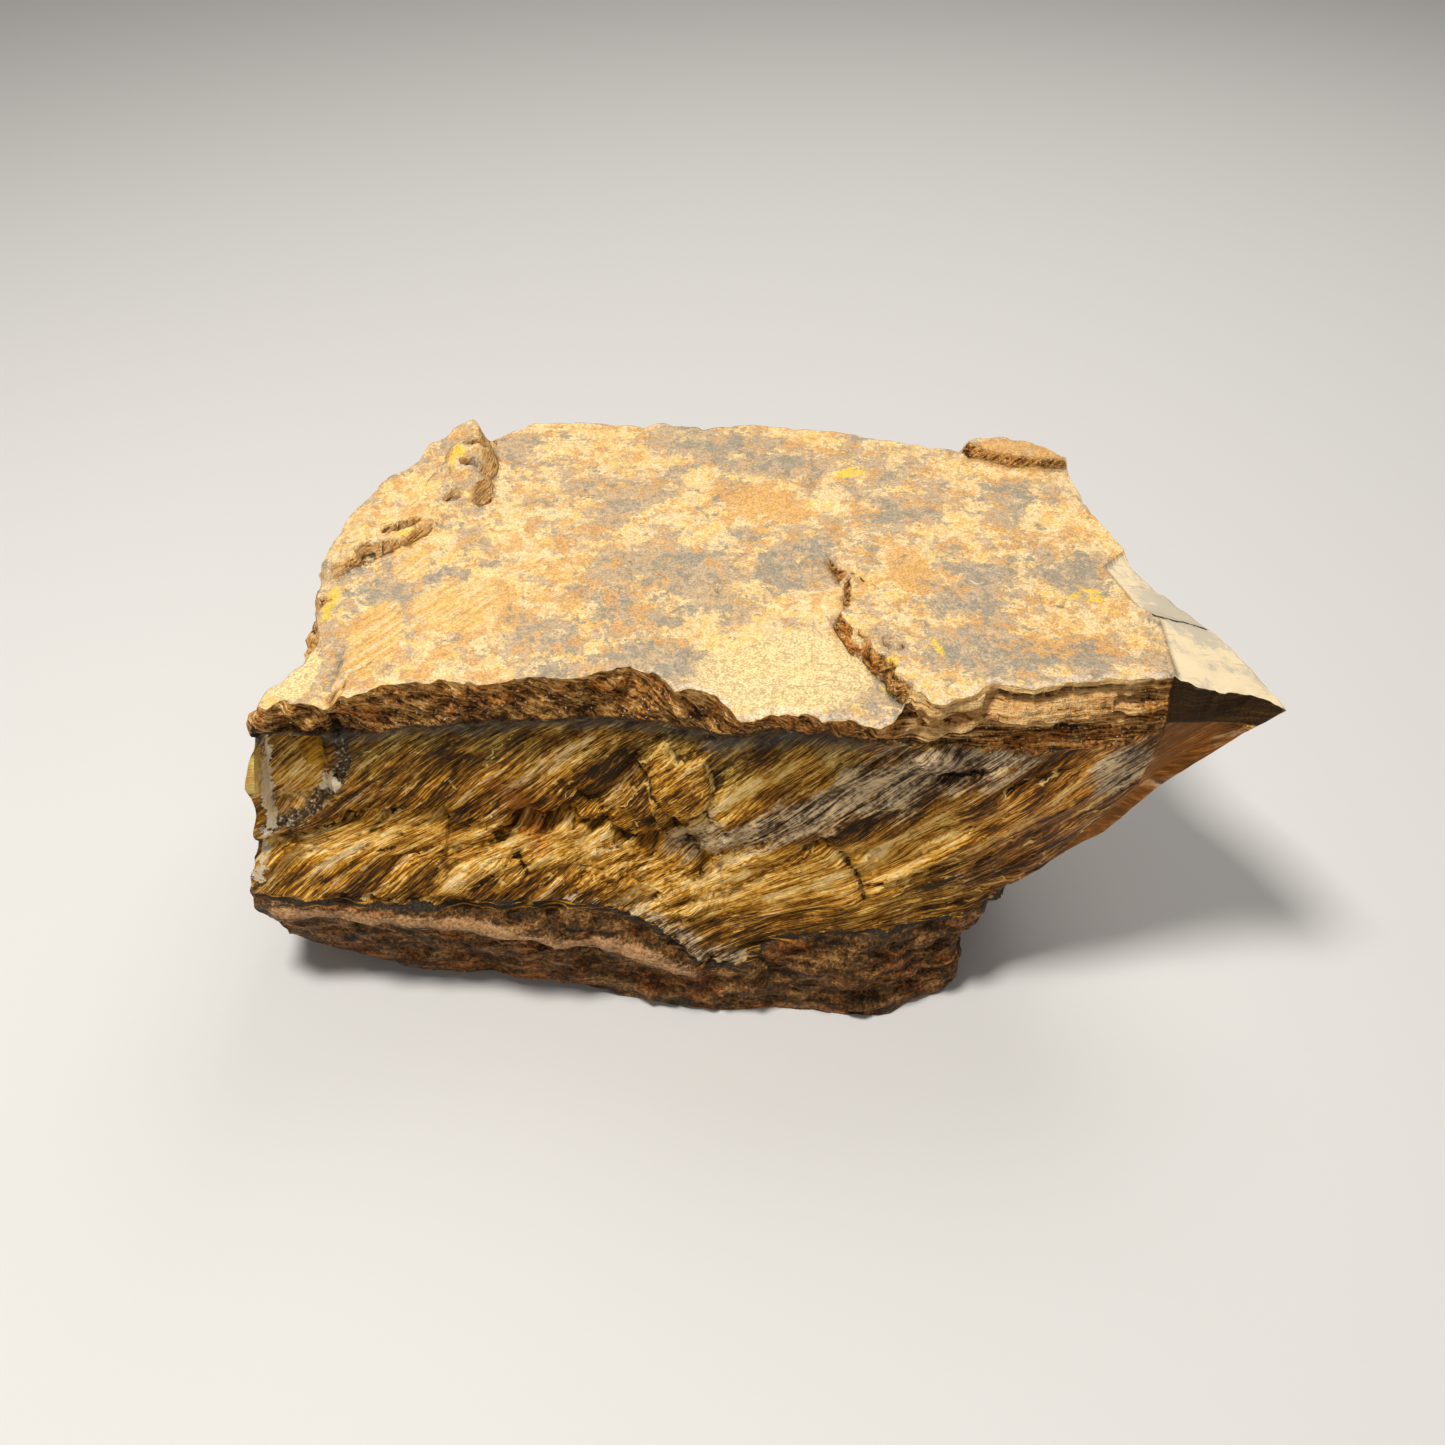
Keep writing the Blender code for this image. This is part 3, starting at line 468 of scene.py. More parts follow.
marks = {
    # open cracks of the front as (x, z), with the reach and depth of the broken trough along them
    "cracks": (
        (((-13.5, 30.7), (-11.5, 27.5), (-9.3, 24.5), (-7.9, 21.5), (-6.2, 19.7), (-5.0, 18.0)), 1.5, 0.9),
        (((7.5, 22.4), (9.0, 23.9), (11.4, 22.4), (13.7, 19.4), (14.5, 17.8)), 1.3, 0.8),
        (((-22.6, 28.1), (-20.5, 27.6), (-19.4, 26.0), (-18.2, 26.5), (-17.1, 24.3)), 1.0, 0.4),
        (((-45.6, 22.2), (-42.9, 22.6), (-40.8, 23.2), (-40.2, 21.9)), 0.9, 0.4),
        (((-32.9, 17.1), (-27.4, 22.0), (-26.5, 19.3)), 1.0, 0.5),
        (((-5.2, 26.6), (-2.4, 23.4)), 1.0, 0.5),
        (((18.9, 37.0), (21.5, 35.3), (24.3, 34.9), (27.0, 35.7)), 1.1, 0.8),
        (((30.4, 33.0), (33.6, 34.6), (36.8, 35.4)), 0.9, 0.5),
        (((-46.9, 45.0), (-47.6, 42.6), (-46.8, 40.6), (-47.2, 38.4)), 0.9, 1.2),
        (((-56.0, 39.4), (-52.0, 39.8), (-48.0, 39.2)), 0.8, 0.5),
    ),
    # where the fibres break off in a step: (x, z) from left to right
    "stepLine": (
        (-58.0, 24.0), (-53.2, 24.6), (-48.2, 26.0), (-43.4, 26.4), (-38.7, 26.6), (-36.3, 26.5), (-35.7, 24.3),
        (-32.9, 24.8), (-30.4, 23.6), (-26.8, 25.3), (-24.6, 24.2), (-22.0, 25.2), (-19.6, 23.2), (-17.2, 23.9),
        (-14.4, 21.6), (-12.3, 22.0),
    ),
    # the raised plate in the middle of the front
    "plate": (
        (-13.2, 31.4), (-11.4, 32.8), (-10.0, 35.0), (-8.8, 32.6), (-6.8, 33.6), (-5.0, 35.0), (-4.6, 32.2),
        (-4.0, 30.2), (-5.4, 26.6), (-8.2, 25.6), (-10.6, 24.0), (-12.0, 27.4), (-11.6, 29.6), (-13.2, 31.4),
    ),
    "plateHeight": 0.9,
    # the seam's foot and the lit streak of rock under it, as (x, z)
    "seamFoot": (
        (-62.0, 15.3), (-54.3, 15.5), (-44.4, 15.4), (-27.1, 15.4), (-18.5, 15.3), (-12.4, 13.5), (-8.5, 11.2),
        (-5.0, 8.8), (-0.1, 8.4), (2.9, 11.6), (7.1, 13.3), (14.4, 13.6), (19.4, 13.5), (24.0, 14.0), (38.0, 13.6),
    ),
    "rockStreak": (
        (-58.0, 13.6), (-50.5, 13.2), (-39.4, 12.9), (-29.6, 12.3), (-22.3, 11.0), (-17.3, 10.6), (-11.2, 9.2),
        (-6.3, 7.2),
    ),
    "curledBand": ((-23.0, 15.3), (-15.3, 14.6), (-9.5, 12.4), (-5.1, 9.4), (-1.0, 9.2)),
    "hawkBand": ((-7.1, 20.8), (2.1, 24.4), (10.2, 29.0), (17.1, 33.0), (24.4, 37.0), (31.0, 39.6)),
    "strawBand": ((-14.5, 16.0), (-5.0, 17.4), (1.0, 18.6), (10.0, 20.9), (18.6, 23.0), (24.1, 26.4)),
    "goldBand": ((14.3, 17.7), (21.3, 22.6), (30.5, 28.2), (37.2, 32.1), (41.4, 35.6)),
    "quartzLine": ((-55.2, 39.0), (-56.0, 33.7), (-56.6, 25.7)),
    "quartzFoot": ((-57.4, 25.0), (-58.6, 20.8), (-59.6, 17.0)),
    "quartzSpot": ((-50.0, 29.2), (-48.8, 31.4)),
    "quartzHole": (-48.4, 32.2),
    "greyLines": (
        ((-46.7, 38.3), (-46.9, 34.8), (-48.2, 31.6)), ((-57.2, 25.5), (-53.5, 26.3), (-51.0, 27.6), (-49.0, 29.9)),
    ),
    "redSpot": ((-27.6, 26.0), (1.7, 6.0)),
    "lemonSpot": ((-58.0, 35.4), (2.2, 4.6)),
    "darkPatch": ((43.7, 34.6), (5.0, 4.2)),
    # a patch of rim rock painted lighter: painted light
    "paintedLitRock": ((21.6, 41.2), (5.6, 1.3)),
    # on the top, as ((x, y), (half length, half width), turn)
    "sheenSpots": (
        ((-9.0, -19.4), (9.0, 3.0), -8.0), ((-12.7, -5.2), (11.0, 7.0), 20.0), ((-20.4, -14.0), (8.0, 3.6), 10.0),
        ((6.0, -1.7), (6.0, 5.0), 0.0), ((0.4, 24.0), (11.0, 6.0), -15.0), ((-14.4, 15.7), (9.0, 6.0), 30.0),
        ((29.9, -21.4), (13.0, 3.4), 0.0), ((39.5, -4.8), (5.0, 6.5), 20.0), ((24.0, -8.0), (8.0, 6.0), 30.0),
        ((50.6, -10.4), (6.0, 4.0), -60.0), ((20.0, 8.0), (6.0, 5.0), 0.0), ((36.0, 14.0), (6.0, 4.0), 0.0),
    ),
    "yellowSpots": (
        ((40.6, -9.6), (3.0, 2.2), 0.0), ((13.6, 18.3), (2.6, 1.6), 10.0), ((-38.4, 19.0), (1.6, 4.4), 0.0),
        ((15.9, -24.0), (1.6, 2.6), 0.0), ((-50.6, -8.0), (1.4, 5.0), 0.0), ((-42.8, 3.0), (1.2, 2.2), 40.0),
        ((21.6, -20.0), (0.8, 2.4), 20.0),
    ),
    "paleSpots": (((4.0, -21.6), (11.0, 8.6), 12.0), ((-52.2, -21.6), (2.8, 5.6), 0.0)),
    "orangeSpots": (
        ((-43.8, -15.9), (3.4, 9.0), 0.0), ((-41.8, -1.3), (2.6, 4.0), 0.0), ((-34.1, -9.7), (7.0, 6.0), 0.0),
        ((2.0, 12.0), (8.0, 4.0), -30.0), ((-46.3, -24.0), (1.1, 4.0), 0.0), ((20.0, -4.0), (3.0, 6.0), 10.0),
        ((36.0, -20.0), (8.0, 3.0), 0.0), ((38.0, 22.0), (7.0, 3.0), 0.0),
    ),
    "wedgeCrack": ((47.6, -13.6), (52.0, -12.6), (55.6, -12.4)),
}


def insidePlate(x, z):
    inside, outline = False, marks["plate"]
    for (xa, za), (xb, zb) in zip(outline, outline[1:]):
        if (za > z) != (zb > z) and x < xa + (xb - xa) * (z - za) / (zb - za):
            inside = not inside
    away = distanceToLine(x, z, outline)
    return away if inside else -away


def underStep(x, z):
    # millimetres below the line where the fibres break off, or none right of it
    jag = 0.5 * noise.noise(Vector((x / 1.5, z / 1.5, 0.0)))
    return brokenLine(marks["stepLine"], x) - z + jag if x < -11.0 else -9.0


def gapRelief(x, z):
    # an upper sheet overhangs the gap under it
    relief = 0.0
    for line, depth in stone["gaps"]:
        inRange = share(x, line[0][0] - 0.5, line[0][0] + 1.5) * share(line[-1][0] - x, -0.5, 1.5)
        if inRange > 0.0:
            above = z - brokenLine(line, x) + 0.3 * noise.noise(Vector((x / 1.8, 5.0, 0.0)))
            lip = share(above, -0.25, 0.15) * (1.0 - share(above, 0.5, 2.0))
            under = (1.0 - share(above, -0.25, 0.15)) * (1.0 - share(-above, 0.3, 1.6))
            relief += depth * inRange * (0.7 * lip - 1.3 * under)
    return relief


def sheetRelief(x, z):
    left, right, low, high, lean = stone["leaningSheet"]
    foot = low + 0.7 * noise.noise(Vector((x / 2.6, 3.0, 0.0)))
    side = right + 1.2 * noise.noise(Vector((z / 1.8, 8.0, 0.0)))
    inside = share(x, left - 1.5, left + 1.5) * share(side - x, 0.0, 0.6) * share(z, foot, foot + 0.5)
    return lean * inside * min(max((high - z) / (high - low), 0.0), 1.0)


def facetShare(x, z):
    ridge = brokenLine(stone["ridge"], z) + 0.5 * noise.noise(Vector((1.0, z / 2.2, 4.0)))
    foot = stone["lipFoot"] + 0.15 * noise.noise(Vector((x / 2.0, 2.0, 4.0)))
    return share(x, ridge - 0.2, ridge + 0.9) * share(foot - z, -0.1, 0.5)


def pointCalm(co):
    # how smooth the walls are towards the pointed end
    return share(co.x, 38.0, 46.0) * (1.0 - share(co.y, -16.0, -4.0))


def wallRelief(co, down, around):
    # strata in the crust, fibre bundles in the seam and lumps in the ledge
    rimFoot, seamFoot = stone["coursesDown"][1], stone["coursesDown"][4]
    along, across = around * 0.82 + co.z * 0.57, co.z * 0.82 - around * 0.57
    crust = 0.7 * noise.noise(Vector((along / 4.0, across / 1.6, 1.0)))
    seam = 0.7 * noise.noise(Vector((along / 11.0, across / 2.4, 3.0)))
    seam += 0.9 * noise.noise(co / 8.0)
    undercut = stone["undercut"] * (1.0 - pointCalm(co)) * (1.0 - 0.6 * share(co.x, 10.0, 18.0))
    seam -= undercut * share(down, rimFoot, rimFoot + 0.02) * (1.0 - share(down, rimFoot, rimFoot + 0.2))
    ledge = 1.0 * noise.noise(Vector((co.x / 6.0, co.y / 6.0, co.z / 3.6 + 5.0)))
    ledge += 0.7 * noise.noise(Vector((co.x / 2.2, co.y / 2.2, co.z / 1.9 + 5.0)))
    inSeam = share(down, rimFoot - 0.01, rimFoot + 0.02)
    inLedge = share(down, seamFoot - 0.03, seamFoot + 0.03)
    relief = crust + (seam - crust) * inSeam + (ledge - seam) * inLedge
    return relief * share(down, 0.0, 0.06) * (1.0 - 0.7 * share(down, 0.9, 1.0))


def breakage(co, side, calm):
    # how roughly the fibres are broken at a place: little over the step, much under it
    if side != "front":
        return 0.5 + 0.5 * share(wave(co, 10.0, 6.0), -0.2, 0.4)
    below = underStep(co.x, co.z)
    rough = 0.35 + 0.75 * share(below, -0.2, 0.8) * (1.0 - share(below, 4.5, 7.5))
    rough = max(rough, 0.9 * nearLine(co.x, co.z, marks["cracks"][0][0], 4.0))
    rough = max(rough, 0.8 * nearLine(co.x, co.z, marks["strawBand"], 6.0))
    return rough * (1.0 - 0.4 * calm)


def fineRelief(co, down, side, calm):
    # the splinters, torn strokes and grains that the broken walls are made of
    rimFoot, seamFoot = stone["coursesDown"][1], stone["coursesDown"][4]
    inSeam = share(down, rimFoot - 0.012, rimFoot + 0.012)
    inLedge = share(down, seamFoot - 0.02, seamFoot + 0.02)
    relief = 0.0
    if inSeam < 1.0:
        along, across, through = strokePlace(co, side)
        strokes = 0.30 * splinters(along, across, through, 3.4, 1.5, 1.0, 0.5)
        strokes += 0.12 * splinters(along, across, through, 1.8, 0.8, 8.0, 0.5) + 0.12 * wave(co, 1.2)
        relief += strokes * (1.0 - inSeam)
    if inSeam > 0.0 and inLedge < 1.0:
        along, across, through = fibrePlace(co, side)
        bundles = 0.60 * splinters(along, across, through, 11.0, 3.4, 3.0, 0.4)
        bundles += 0.26 * splinters(along, across, through, 5.0, 1.9, 5.0, 0.5)
        bundles += 0.18 * noise.noise(Vector((along / 7.0, across / 0.9, through / 4.0)))
        relief += bundles * breakage(co, side, calm) * inSeam * (1.0 - inLedge)
    if inLedge > 0.0:
        blocks = 0.40 * splinters(co.x, co.z, co.y, 4.2, 2.8, 7.0, 0.5)
        blocks += 0.30 * noise.noise(Vector((co.x / 6.0, co.y / 6.0, co.z / 0.9))) + 0.30 * wave(co, 1.4, 3.0)
        relief += blocks * inLedge * (1.0 - 0.6 * share(down, 0.92, 1.0))
    return relief * share(down, 0.0, 0.03)


def frontRelief(co, edge):
    left, right, low, high = stone["window"]
    sunk = share(co.x, left - 0.6, left + 0.5) * share(right - co.x, -0.6, 0.5)
    sunk *= share(co.z, low - 0.8, low + 0.8) * share(high - co.z, -0.2, 0.5)
    relief = -stone["windowDepth"] * sunk
    relief += gapRelief(co.x, co.z) + sheetRelief(co.x, co.z)
    relief -= stone["facetDepth"] * facetShare(co.x, co.z) * (1.0 - share(edge, 0.94, 1.0))
    middle, radii, turn, height = stone["knob"]
    relief += height * spot(co.x, co.z, middle, radii, turn)
    for line, reach, depth in marks["cracks"]:
        relief -= depth * (1.0 - share(distanceToLine(co.x, co.z, line), 0.0, reach))
    relief += marks["plateHeight"] * share(insidePlate(co.x, co.z), -0.4, 0.3)
    below = underStep(co.x, co.z)
    relief -= 0.6 * share(below, -0.3, 0.5) * (1.0 - share(below, 0.8, 3.2))
    relief += 0.7 * (1.0 - share(distanceToLine(co.x, co.z, marks["rockStreak"]), 0.0, 2.0))
    relief -= 1.0 * spot(co.x, co.z, marks["quartzHole"], (0.7, 0.9))
    relief += 0.8 * spot(co.x, co.z, *marks["lemonSpot"])
    return relief


def roughRelief(co):
    return 1.5 * noise.noise(co / 15.0 + Vector((3.0, 0.0, 0.0))) + 0.7 * noise.noise(co / 6.0)


def cornerRelief(co, edge, down):
    # the upright edges are broken back, but the pointed end and the front's left edge stay sharp
    sharp = max(share(co.x, 34.0, 40.0), 0.8 * share(-co.y, 18.0, 24.0) * share(-co.x, 44.0, 50.0))
    broken = 0.4 + noise.noise(Vector((co.y / 9.0, 3.0, co.z / 4.5)))
    return -stone["cornerWear"] * max(broken, 0.0) * share(edge, 0.86, 1.0) * share(down, 0.12, 0.2) * (1.0 - sharp)


def hawkShare(co, side):
    if side != "front":
        along, across, through = fibrePlace(co, side)
        return 0.85 * share(wave((along / 22.0, across / 6.0, through / 14.0), 1.0, 2.0), 0.10, 0.45)
    width = 2.6 + 2.2 * share(co.x, -4.0, 14.0)
    band = 1.0 - share(distanceToLine(co.x, co.z, marks["hawkBand"]), 0.1 * width, 1.7 * width)
    curled = 0.75 * (1.0 - share(distanceToLine(co.x, co.z, marks["curledBand"]), 0.4, 2.6))
    return max(band, curled, 0.8 * spot(co.x, co.z, *marks["darkPatch"], 60.0))


def levelOf(side, down):
    # 0 on the top, 0.5 at its rim, 1.5 at the rim's foot, 2.5 at the seam's foot, 3.5 at the base and 4 under it
    if side == "top":
        return 0.0
    if side == "base":
        return 4.0
    rimFoot, seamFoot = stone["coursesDown"][1], stone["coursesDown"][4]
    return brokenLine(((0.0, 0.5), (rimFoot, 1.5), (seamFoot, 2.5), (1.0, 3.5)), down)


def underSeam(co, side, level):
    # millimetres below the seam's foot
    if side == "front":
        return brokenLine(marks["seamFoot"], co.x) - co.z
    return (level - 2.5) * 12.0


def seamTones(co, side, level):
    # hawk's eye, straw, olive and rust in the seam
    hawk = hawkShare(co, side)
    if side != "front":
        straw = share(wave(co, 9.0, 5.0), 0.05, 0.5)
        olive = share(wave(co, 11.0, 8.0), 0.0, 0.4) * 0.7
        rust = max(share(wave(co, 7.0, 1.0), 0.2, 0.5) * 0.6, pointCalm(co))
        return hawk, straw, olive, rust
    below = underStep(co.x, co.z)
    # under the step the fibres are painted straw: pale fibres, and painted light where the band faces up
    middle = share(below, -0.4, 0.8) * (1.0 - share(below, 3.5, 6.0))
    straw = max(1.0 - share(distanceToLine(co.x, co.z, marks["strawBand"]), 1.6, 4.4), 0.75 * middle)
    straw = max(straw, 0.55 * (1.0 - share(distanceToLine(co.x, co.z, marks["goldBand"]), 1.0, 4.0)))
    onPlate = share(insidePlate(co.x, co.z), -0.2, 0.3)
    straw = max(straw, 0.6 * onPlate)
    straw = max(straw, 0.8 * spot(co.x, co.z, (3.0, 31.5), (11.0, 4.0), 32.0))
    straw = max(straw, 0.6 * spot(co.x, co.z, (-52.6, 33.0), (3.4, 5.0)))
    olive = (1.0 - share(level, 1.56, 1.86)) * (1.0 - share(co.x, 8.0, 18.0)) * (1.0 - 0.8 * onPlate)
    rust = max(0.9 * spot(co.x, co.z, *marks["redSpot"], 40.0), 0.5 * share(co.x, 24.0, 34.0), facetShare(co.x, co.z))
    return hawk, straw, olive, rust


def crustTones(co, side):
    # sheen, yellow, pale and orange on the top, and the yellow of the front's left edge
    if side != "top":
        return 0.0, spot(co.x, co.z, *marks["lemonSpot"]) if side == "front" else 0.0, 0.0, 0.0
    tones = []
    for name in ("sheenSpots", "yellowSpots", "paleSpots", "orangeSpots"):
        tones.append(max(spot(co.x, co.y, *place) for place in marks[name]))
    return tones


def markTones(co, side):
    # quartz, closeness to a crack as painted shade (also pits and the quartz hole), pale broken edges and the amber of
    # the window
    if side == "top":
        # painted shade along the wedge's crack and in the pits
        crackShade = 1.2 - min(distanceToLine(co.x, co.y, marks["wedgeCrack"]) / 1.2, 1.2)
        pits = min(0.55 * spots(co.x, co.y, stone["topPits"]), 1.0)
        return 0.0, max(crackShade, pits), 0.0, 0.0
    if side != "front":
        return 0.0, 0.0, 0.0, 0.0
    quartz = 1.0 - min(distanceToLine(co.x, co.z, marks["quartzLine"]) / 1.3, 1.0)
    quartz = max(quartz, 1.0 - distanceToLine(co.x, co.z, marks["quartzSpot"]) / 1.7)
    quartz = max(quartz, 0.75 - 0.75 * distanceToLine(co.x, co.z, marks["quartzFoot"]) / 1.8)
    # painted shade along the cracks, the step's foot and around the quartz hole
    far = min(distanceToLine(co.x, co.z, line) for line, reach, depth in marks["cracks"])
    far = min(far, abs(underStep(co.x, co.z) - 0.3))
    hole = math.hypot(co.x - marks["quartzHole"][0], co.z - marks["quartzHole"][1])
    crackShade = max(1.0 - min(far / 2.0, 1.0), 1.0 - 0.4 * hole)
    paleEdge = 1.0 - min(abs(insidePlate(co.x, co.z) + 0.1) / 1.2, 1.0)
    left, right, low, high = stone["window"]
    amber = spot(co.x, co.z, (right - 1.4, high - 3.2), (1.7, 3.0), 10.0)
    return quartz, crackShade, paleEdge, amber


def placeTones(co, side, toFront):
    # the pale crest of the top with painted sheen, the lip of the pointed end with painted shade, grey joints, and pale
    # rock, with painted light on the rock that leans out
    if side == "top":
        # pale crest along the top's front edge: pale stone with a painted sheen
        paleCrestAndSheen = brokenLine(((-60.0, 0.3), (-12.0, 0.3), (-8.0, 0.9), (46.0, 1.0), (48.0, 0.0)), co.x)
        edge = brokenLine(stone["wedgeEdge"], co.y)
        paleCrestAndSheen *= 1.0 - share(toFront, 0.0, 2.2)
        return paleCrestAndSheen, share(co.x, edge, edge + 0.8), 0.0, share(-co.x, 28.0, 32.0)
    if side != "front":
        paler = 0.8 if side == "left" and co.z > 30.0 else 0.5 * share(wave(co, 8.0, 9.0), 0.0, 0.4)
        return 0.0, 0.0, 0.0, paler
    # the lip's mask: dark brown strata, painted darker still as shade under the wedge's edge
    lip = share(co.x, 47.0, 47.8) * share(co.z, stone["lipFoot"] - 0.6, stone["lipFoot"] - 0.1)
    grey = 1.0 - min(min(distanceToLine(co.x, co.z, line) for line in marks["greyLines"]) / 1.8, 1.0)
    grey = max(grey, 0.0)
    # pale rock along the streak, and painted light on the leaning sheet, the lit rock and the rim's upper band at the
    # right
    paleAndPaintedLight = 1.0 - min(distanceToLine(co.x, co.z, marks["rockStreak"]) / 1.7, 1.0)
    paleAndPaintedLight = max(paleAndPaintedLight, 0.75 * share(sheetRelief(co.x, co.z), 0.0, 0.5), 0.5 * spot(co.x, co.z, *marks["paintedLitRock"]))
    paleAndPaintedLight = max(paleAndPaintedLight, 0.75 * share(co.x, 15.0, 20.0) * (1.0 - share(co.x, 42.0, 46.0)) * share(co.z, 40.6, 42.6))
    return 0.0, lip, grey, paleAndPaintedLight


def carve(mesh, sides):
    mesh.normal_update()
    downOf, edgeOf = mesh.verts.layers.float["down"], mesh.verts.layers.float["edge"]
    levelLayer, underLayer = mesh.verts.layers.float.new("level"), mesh.verts.layers.float.new("under")
    tones = {name: mesh.verts.layers.float_color.new(name) for name in ("seam", "crust", "mark", "place")}
    rimFoot = stone["coursesDown"][1]
    moves = []
    for vert, side in zip(mesh.verts, sides):
        down, co = vert[downOf], vert.co.copy()
        level = levelOf(side, down)
        vert[levelLayer], vert[underLayer] = level, underSeam(co, side, level)
        toFront = co.y - brokenLine(stone["frontRim"], co.x)
        vert[tones["mark"]] = markTones(co, side)
        vert[tones["place"]] = placeTones(co, side, toFront)
        vert[tones["crust"]] = crustTones(co, side)
        if side in ("top", "base"):
            vert[tones["seam"]] = (0.0, 0.0, 0.0, 0.0)
            continue
        vert[tones["seam"]] = seamTones(co, side, level)
        facesX = abs(vert.normal.x) > abs(vert.normal.y)
        relief = wallRelief(co, down, co.y if facesX else co.x) * (1.0 - 0.8 * pointCalm(co))
        fade = share(down, 0.0, 0.02 if co.x > 14.0 and side == "front" else 0.1)
        rough = roughRelief(co) * (1.0 - 0.85 * pointCalm(co)) if side != "front" else 0.0
        relief += fade * (frontRelief(co, vert[edgeOf]) if side == "front" else rough)
        relief += cornerRelief(co, vert[edgeOf], down)
        calm = vert[tones["seam"]][0] * share(down, rimFoot, rimFoot + 0.02)
        fine = fineRelief(co, down, side, calm) * (1.0 - stone["cornerCalm"] * share(vert[edgeOf], 0.93, 1.0))
        smooth = pointCalm(co)
        if side == "front":
            smooth = max(facetShare(co.x, co.z), vert[tones["place"]][1], share(insidePlate(co.x, co.z), -0.4, 0.4))
            smooth = max(smooth, 1.0 - share(distanceToLine(co.x, co.z, marks["rockStreak"]), 0.8, 2.6))
        relief += fine * (1.0 - 0.7 * smooth)
        moves.append((vert, vert.normal * relief))
    for vert, move in moves:
        vert.co += move
        vert.co.z = max(vert.co.z, 0.0)


def cutCube():
    mesh = bmesh.new()
    bmesh.ops.create_cube(mesh, size=2.0)
    for axis, cells in enumerate(stone["cells"]):
        edges = [e for e in mesh.edges if abs(e.verts[0].co[axis] - e.verts[1].co[axis]) > 1.5]
        bmesh.ops.subdivide_edges(mesh, edges=edges, cuts=cells - 1, use_grid_fill=True)
    fine = set()
    for face in mesh.faces:
        middle = face.calc_center_median()
        if middle.y < -0.9999 or middle.z > 0.9999:
            fine.update(face.edges)
    bmesh.ops.subdivide_edges(mesh, edges=list(fine), cuts=1, use_grid_fill=True)
    return mesh


def keepFibres(mesh, faceSides):
    # the fibres' own coordinates on each face corner, so that they can turn at an edge
    layer = mesh.loops.layers.float_vector.new("fibre")
    downOf = mesh.verts.layers.float["down"]
    rimFoot = stone["coursesDown"][1]
    for face, side in zip(mesh.faces, faceSides):
        torn = side not in ("top", "base") and sum(v[downOf] for v in face.verts) / len(face.verts) < rimFoot
        for loop in face.loops:
            co = loop.vert.co
            loop[layer] = strokePlace(co, side) if torn else fibrePlace(co, side)


def keepRelief(mesh, sides):
    # how far each point stands out of its neighbours, and how steep the top is
    mesh.normal_update()
    layer, steepLayer = mesh.verts.layers.float.new("relief"), mesh.verts.layers.float.new("steep")
    raised = []
    for vert, side in zip(mesh.verts, sides):
        total = 0.0
        for edge in vert.link_edges:
            run = edge.other_vert(vert).co - vert.co
            total -= run.dot(vert.normal) / max(run.length, 0.05)
        raised.append(total / len(vert.link_edges))
        vert[steepLayer] = 1.0 - vert.normal.z if side == "top" else 0.0
    mesh.verts.index_update()
    for vert in mesh.verts:
        around = [raised[edge.other_vert(vert).index] for edge in vert.link_edges]
        vert[layer] = 0.5 * raised[vert.index] + 0.5 * sum(around) / len(around)


def settle(mesh):
    # metres, and exactly into the solid's own box, standing on the ground
    lows = [min(v.co[i] for v in mesh.verts) for i in range(3)]
    highs = [max(v.co[i] for v in mesh.verts) for i in range(3)]
    low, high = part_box(stone["node"])
    for vert in mesh.verts:
        if vert.co.z < 0.05:
            vert.co.z = 0.0
        for i in range(3):
            part = (vert.co[i] - lows[i]) / (highs[i] - lows[i])
            vert.co[i] = low[i] + (high[i] - low[i]) * part


def carvedStone():
    mesh = cutCube()
    downOf = mesh.verts.layers.float.new("down")
    edgeOf = mesh.verts.layers.float.new("edge")
    sides, faceSides = [], [sideOf(face.calc_center_median()) for face in mesh.faces]
    for vert in mesh.verts:
        side = sideOf(vert.co)
        sides.append(side)
        vert[downOf] = (1.0 - vert.co.z) / 2.0 if side not in ("top", "base") else -1.0
        vert[edgeOf] = min(abs(vert.co.x), abs(vert.co.y))
    for vert, side in zip(mesh.verts, sides):
        vert.co = formPoint(vert.co, side)
    print("stone formed:", len(mesh.verts), "points")
    keepFibres(mesh, faceSides)
    carve(mesh, sides)
    print("stone carved")
    keepRelief(mesh, sides)
    settle(mesh)
    bmesh.ops.recalc_face_normals(mesh, faces=mesh.faces)
    bmesh.ops.triangulate(mesh, faces=mesh.faces)
    data = bpy.data.meshes.new(stone["name"])
    mesh.to_mesh(data)
    mesh.free()
    made = bpy.data.objects.new(stone["name"], data)
    bpy.context.scene.collection.objects.link(made)
    return made


# ---- the stone's finish -----------------------------------------------------------------------------------

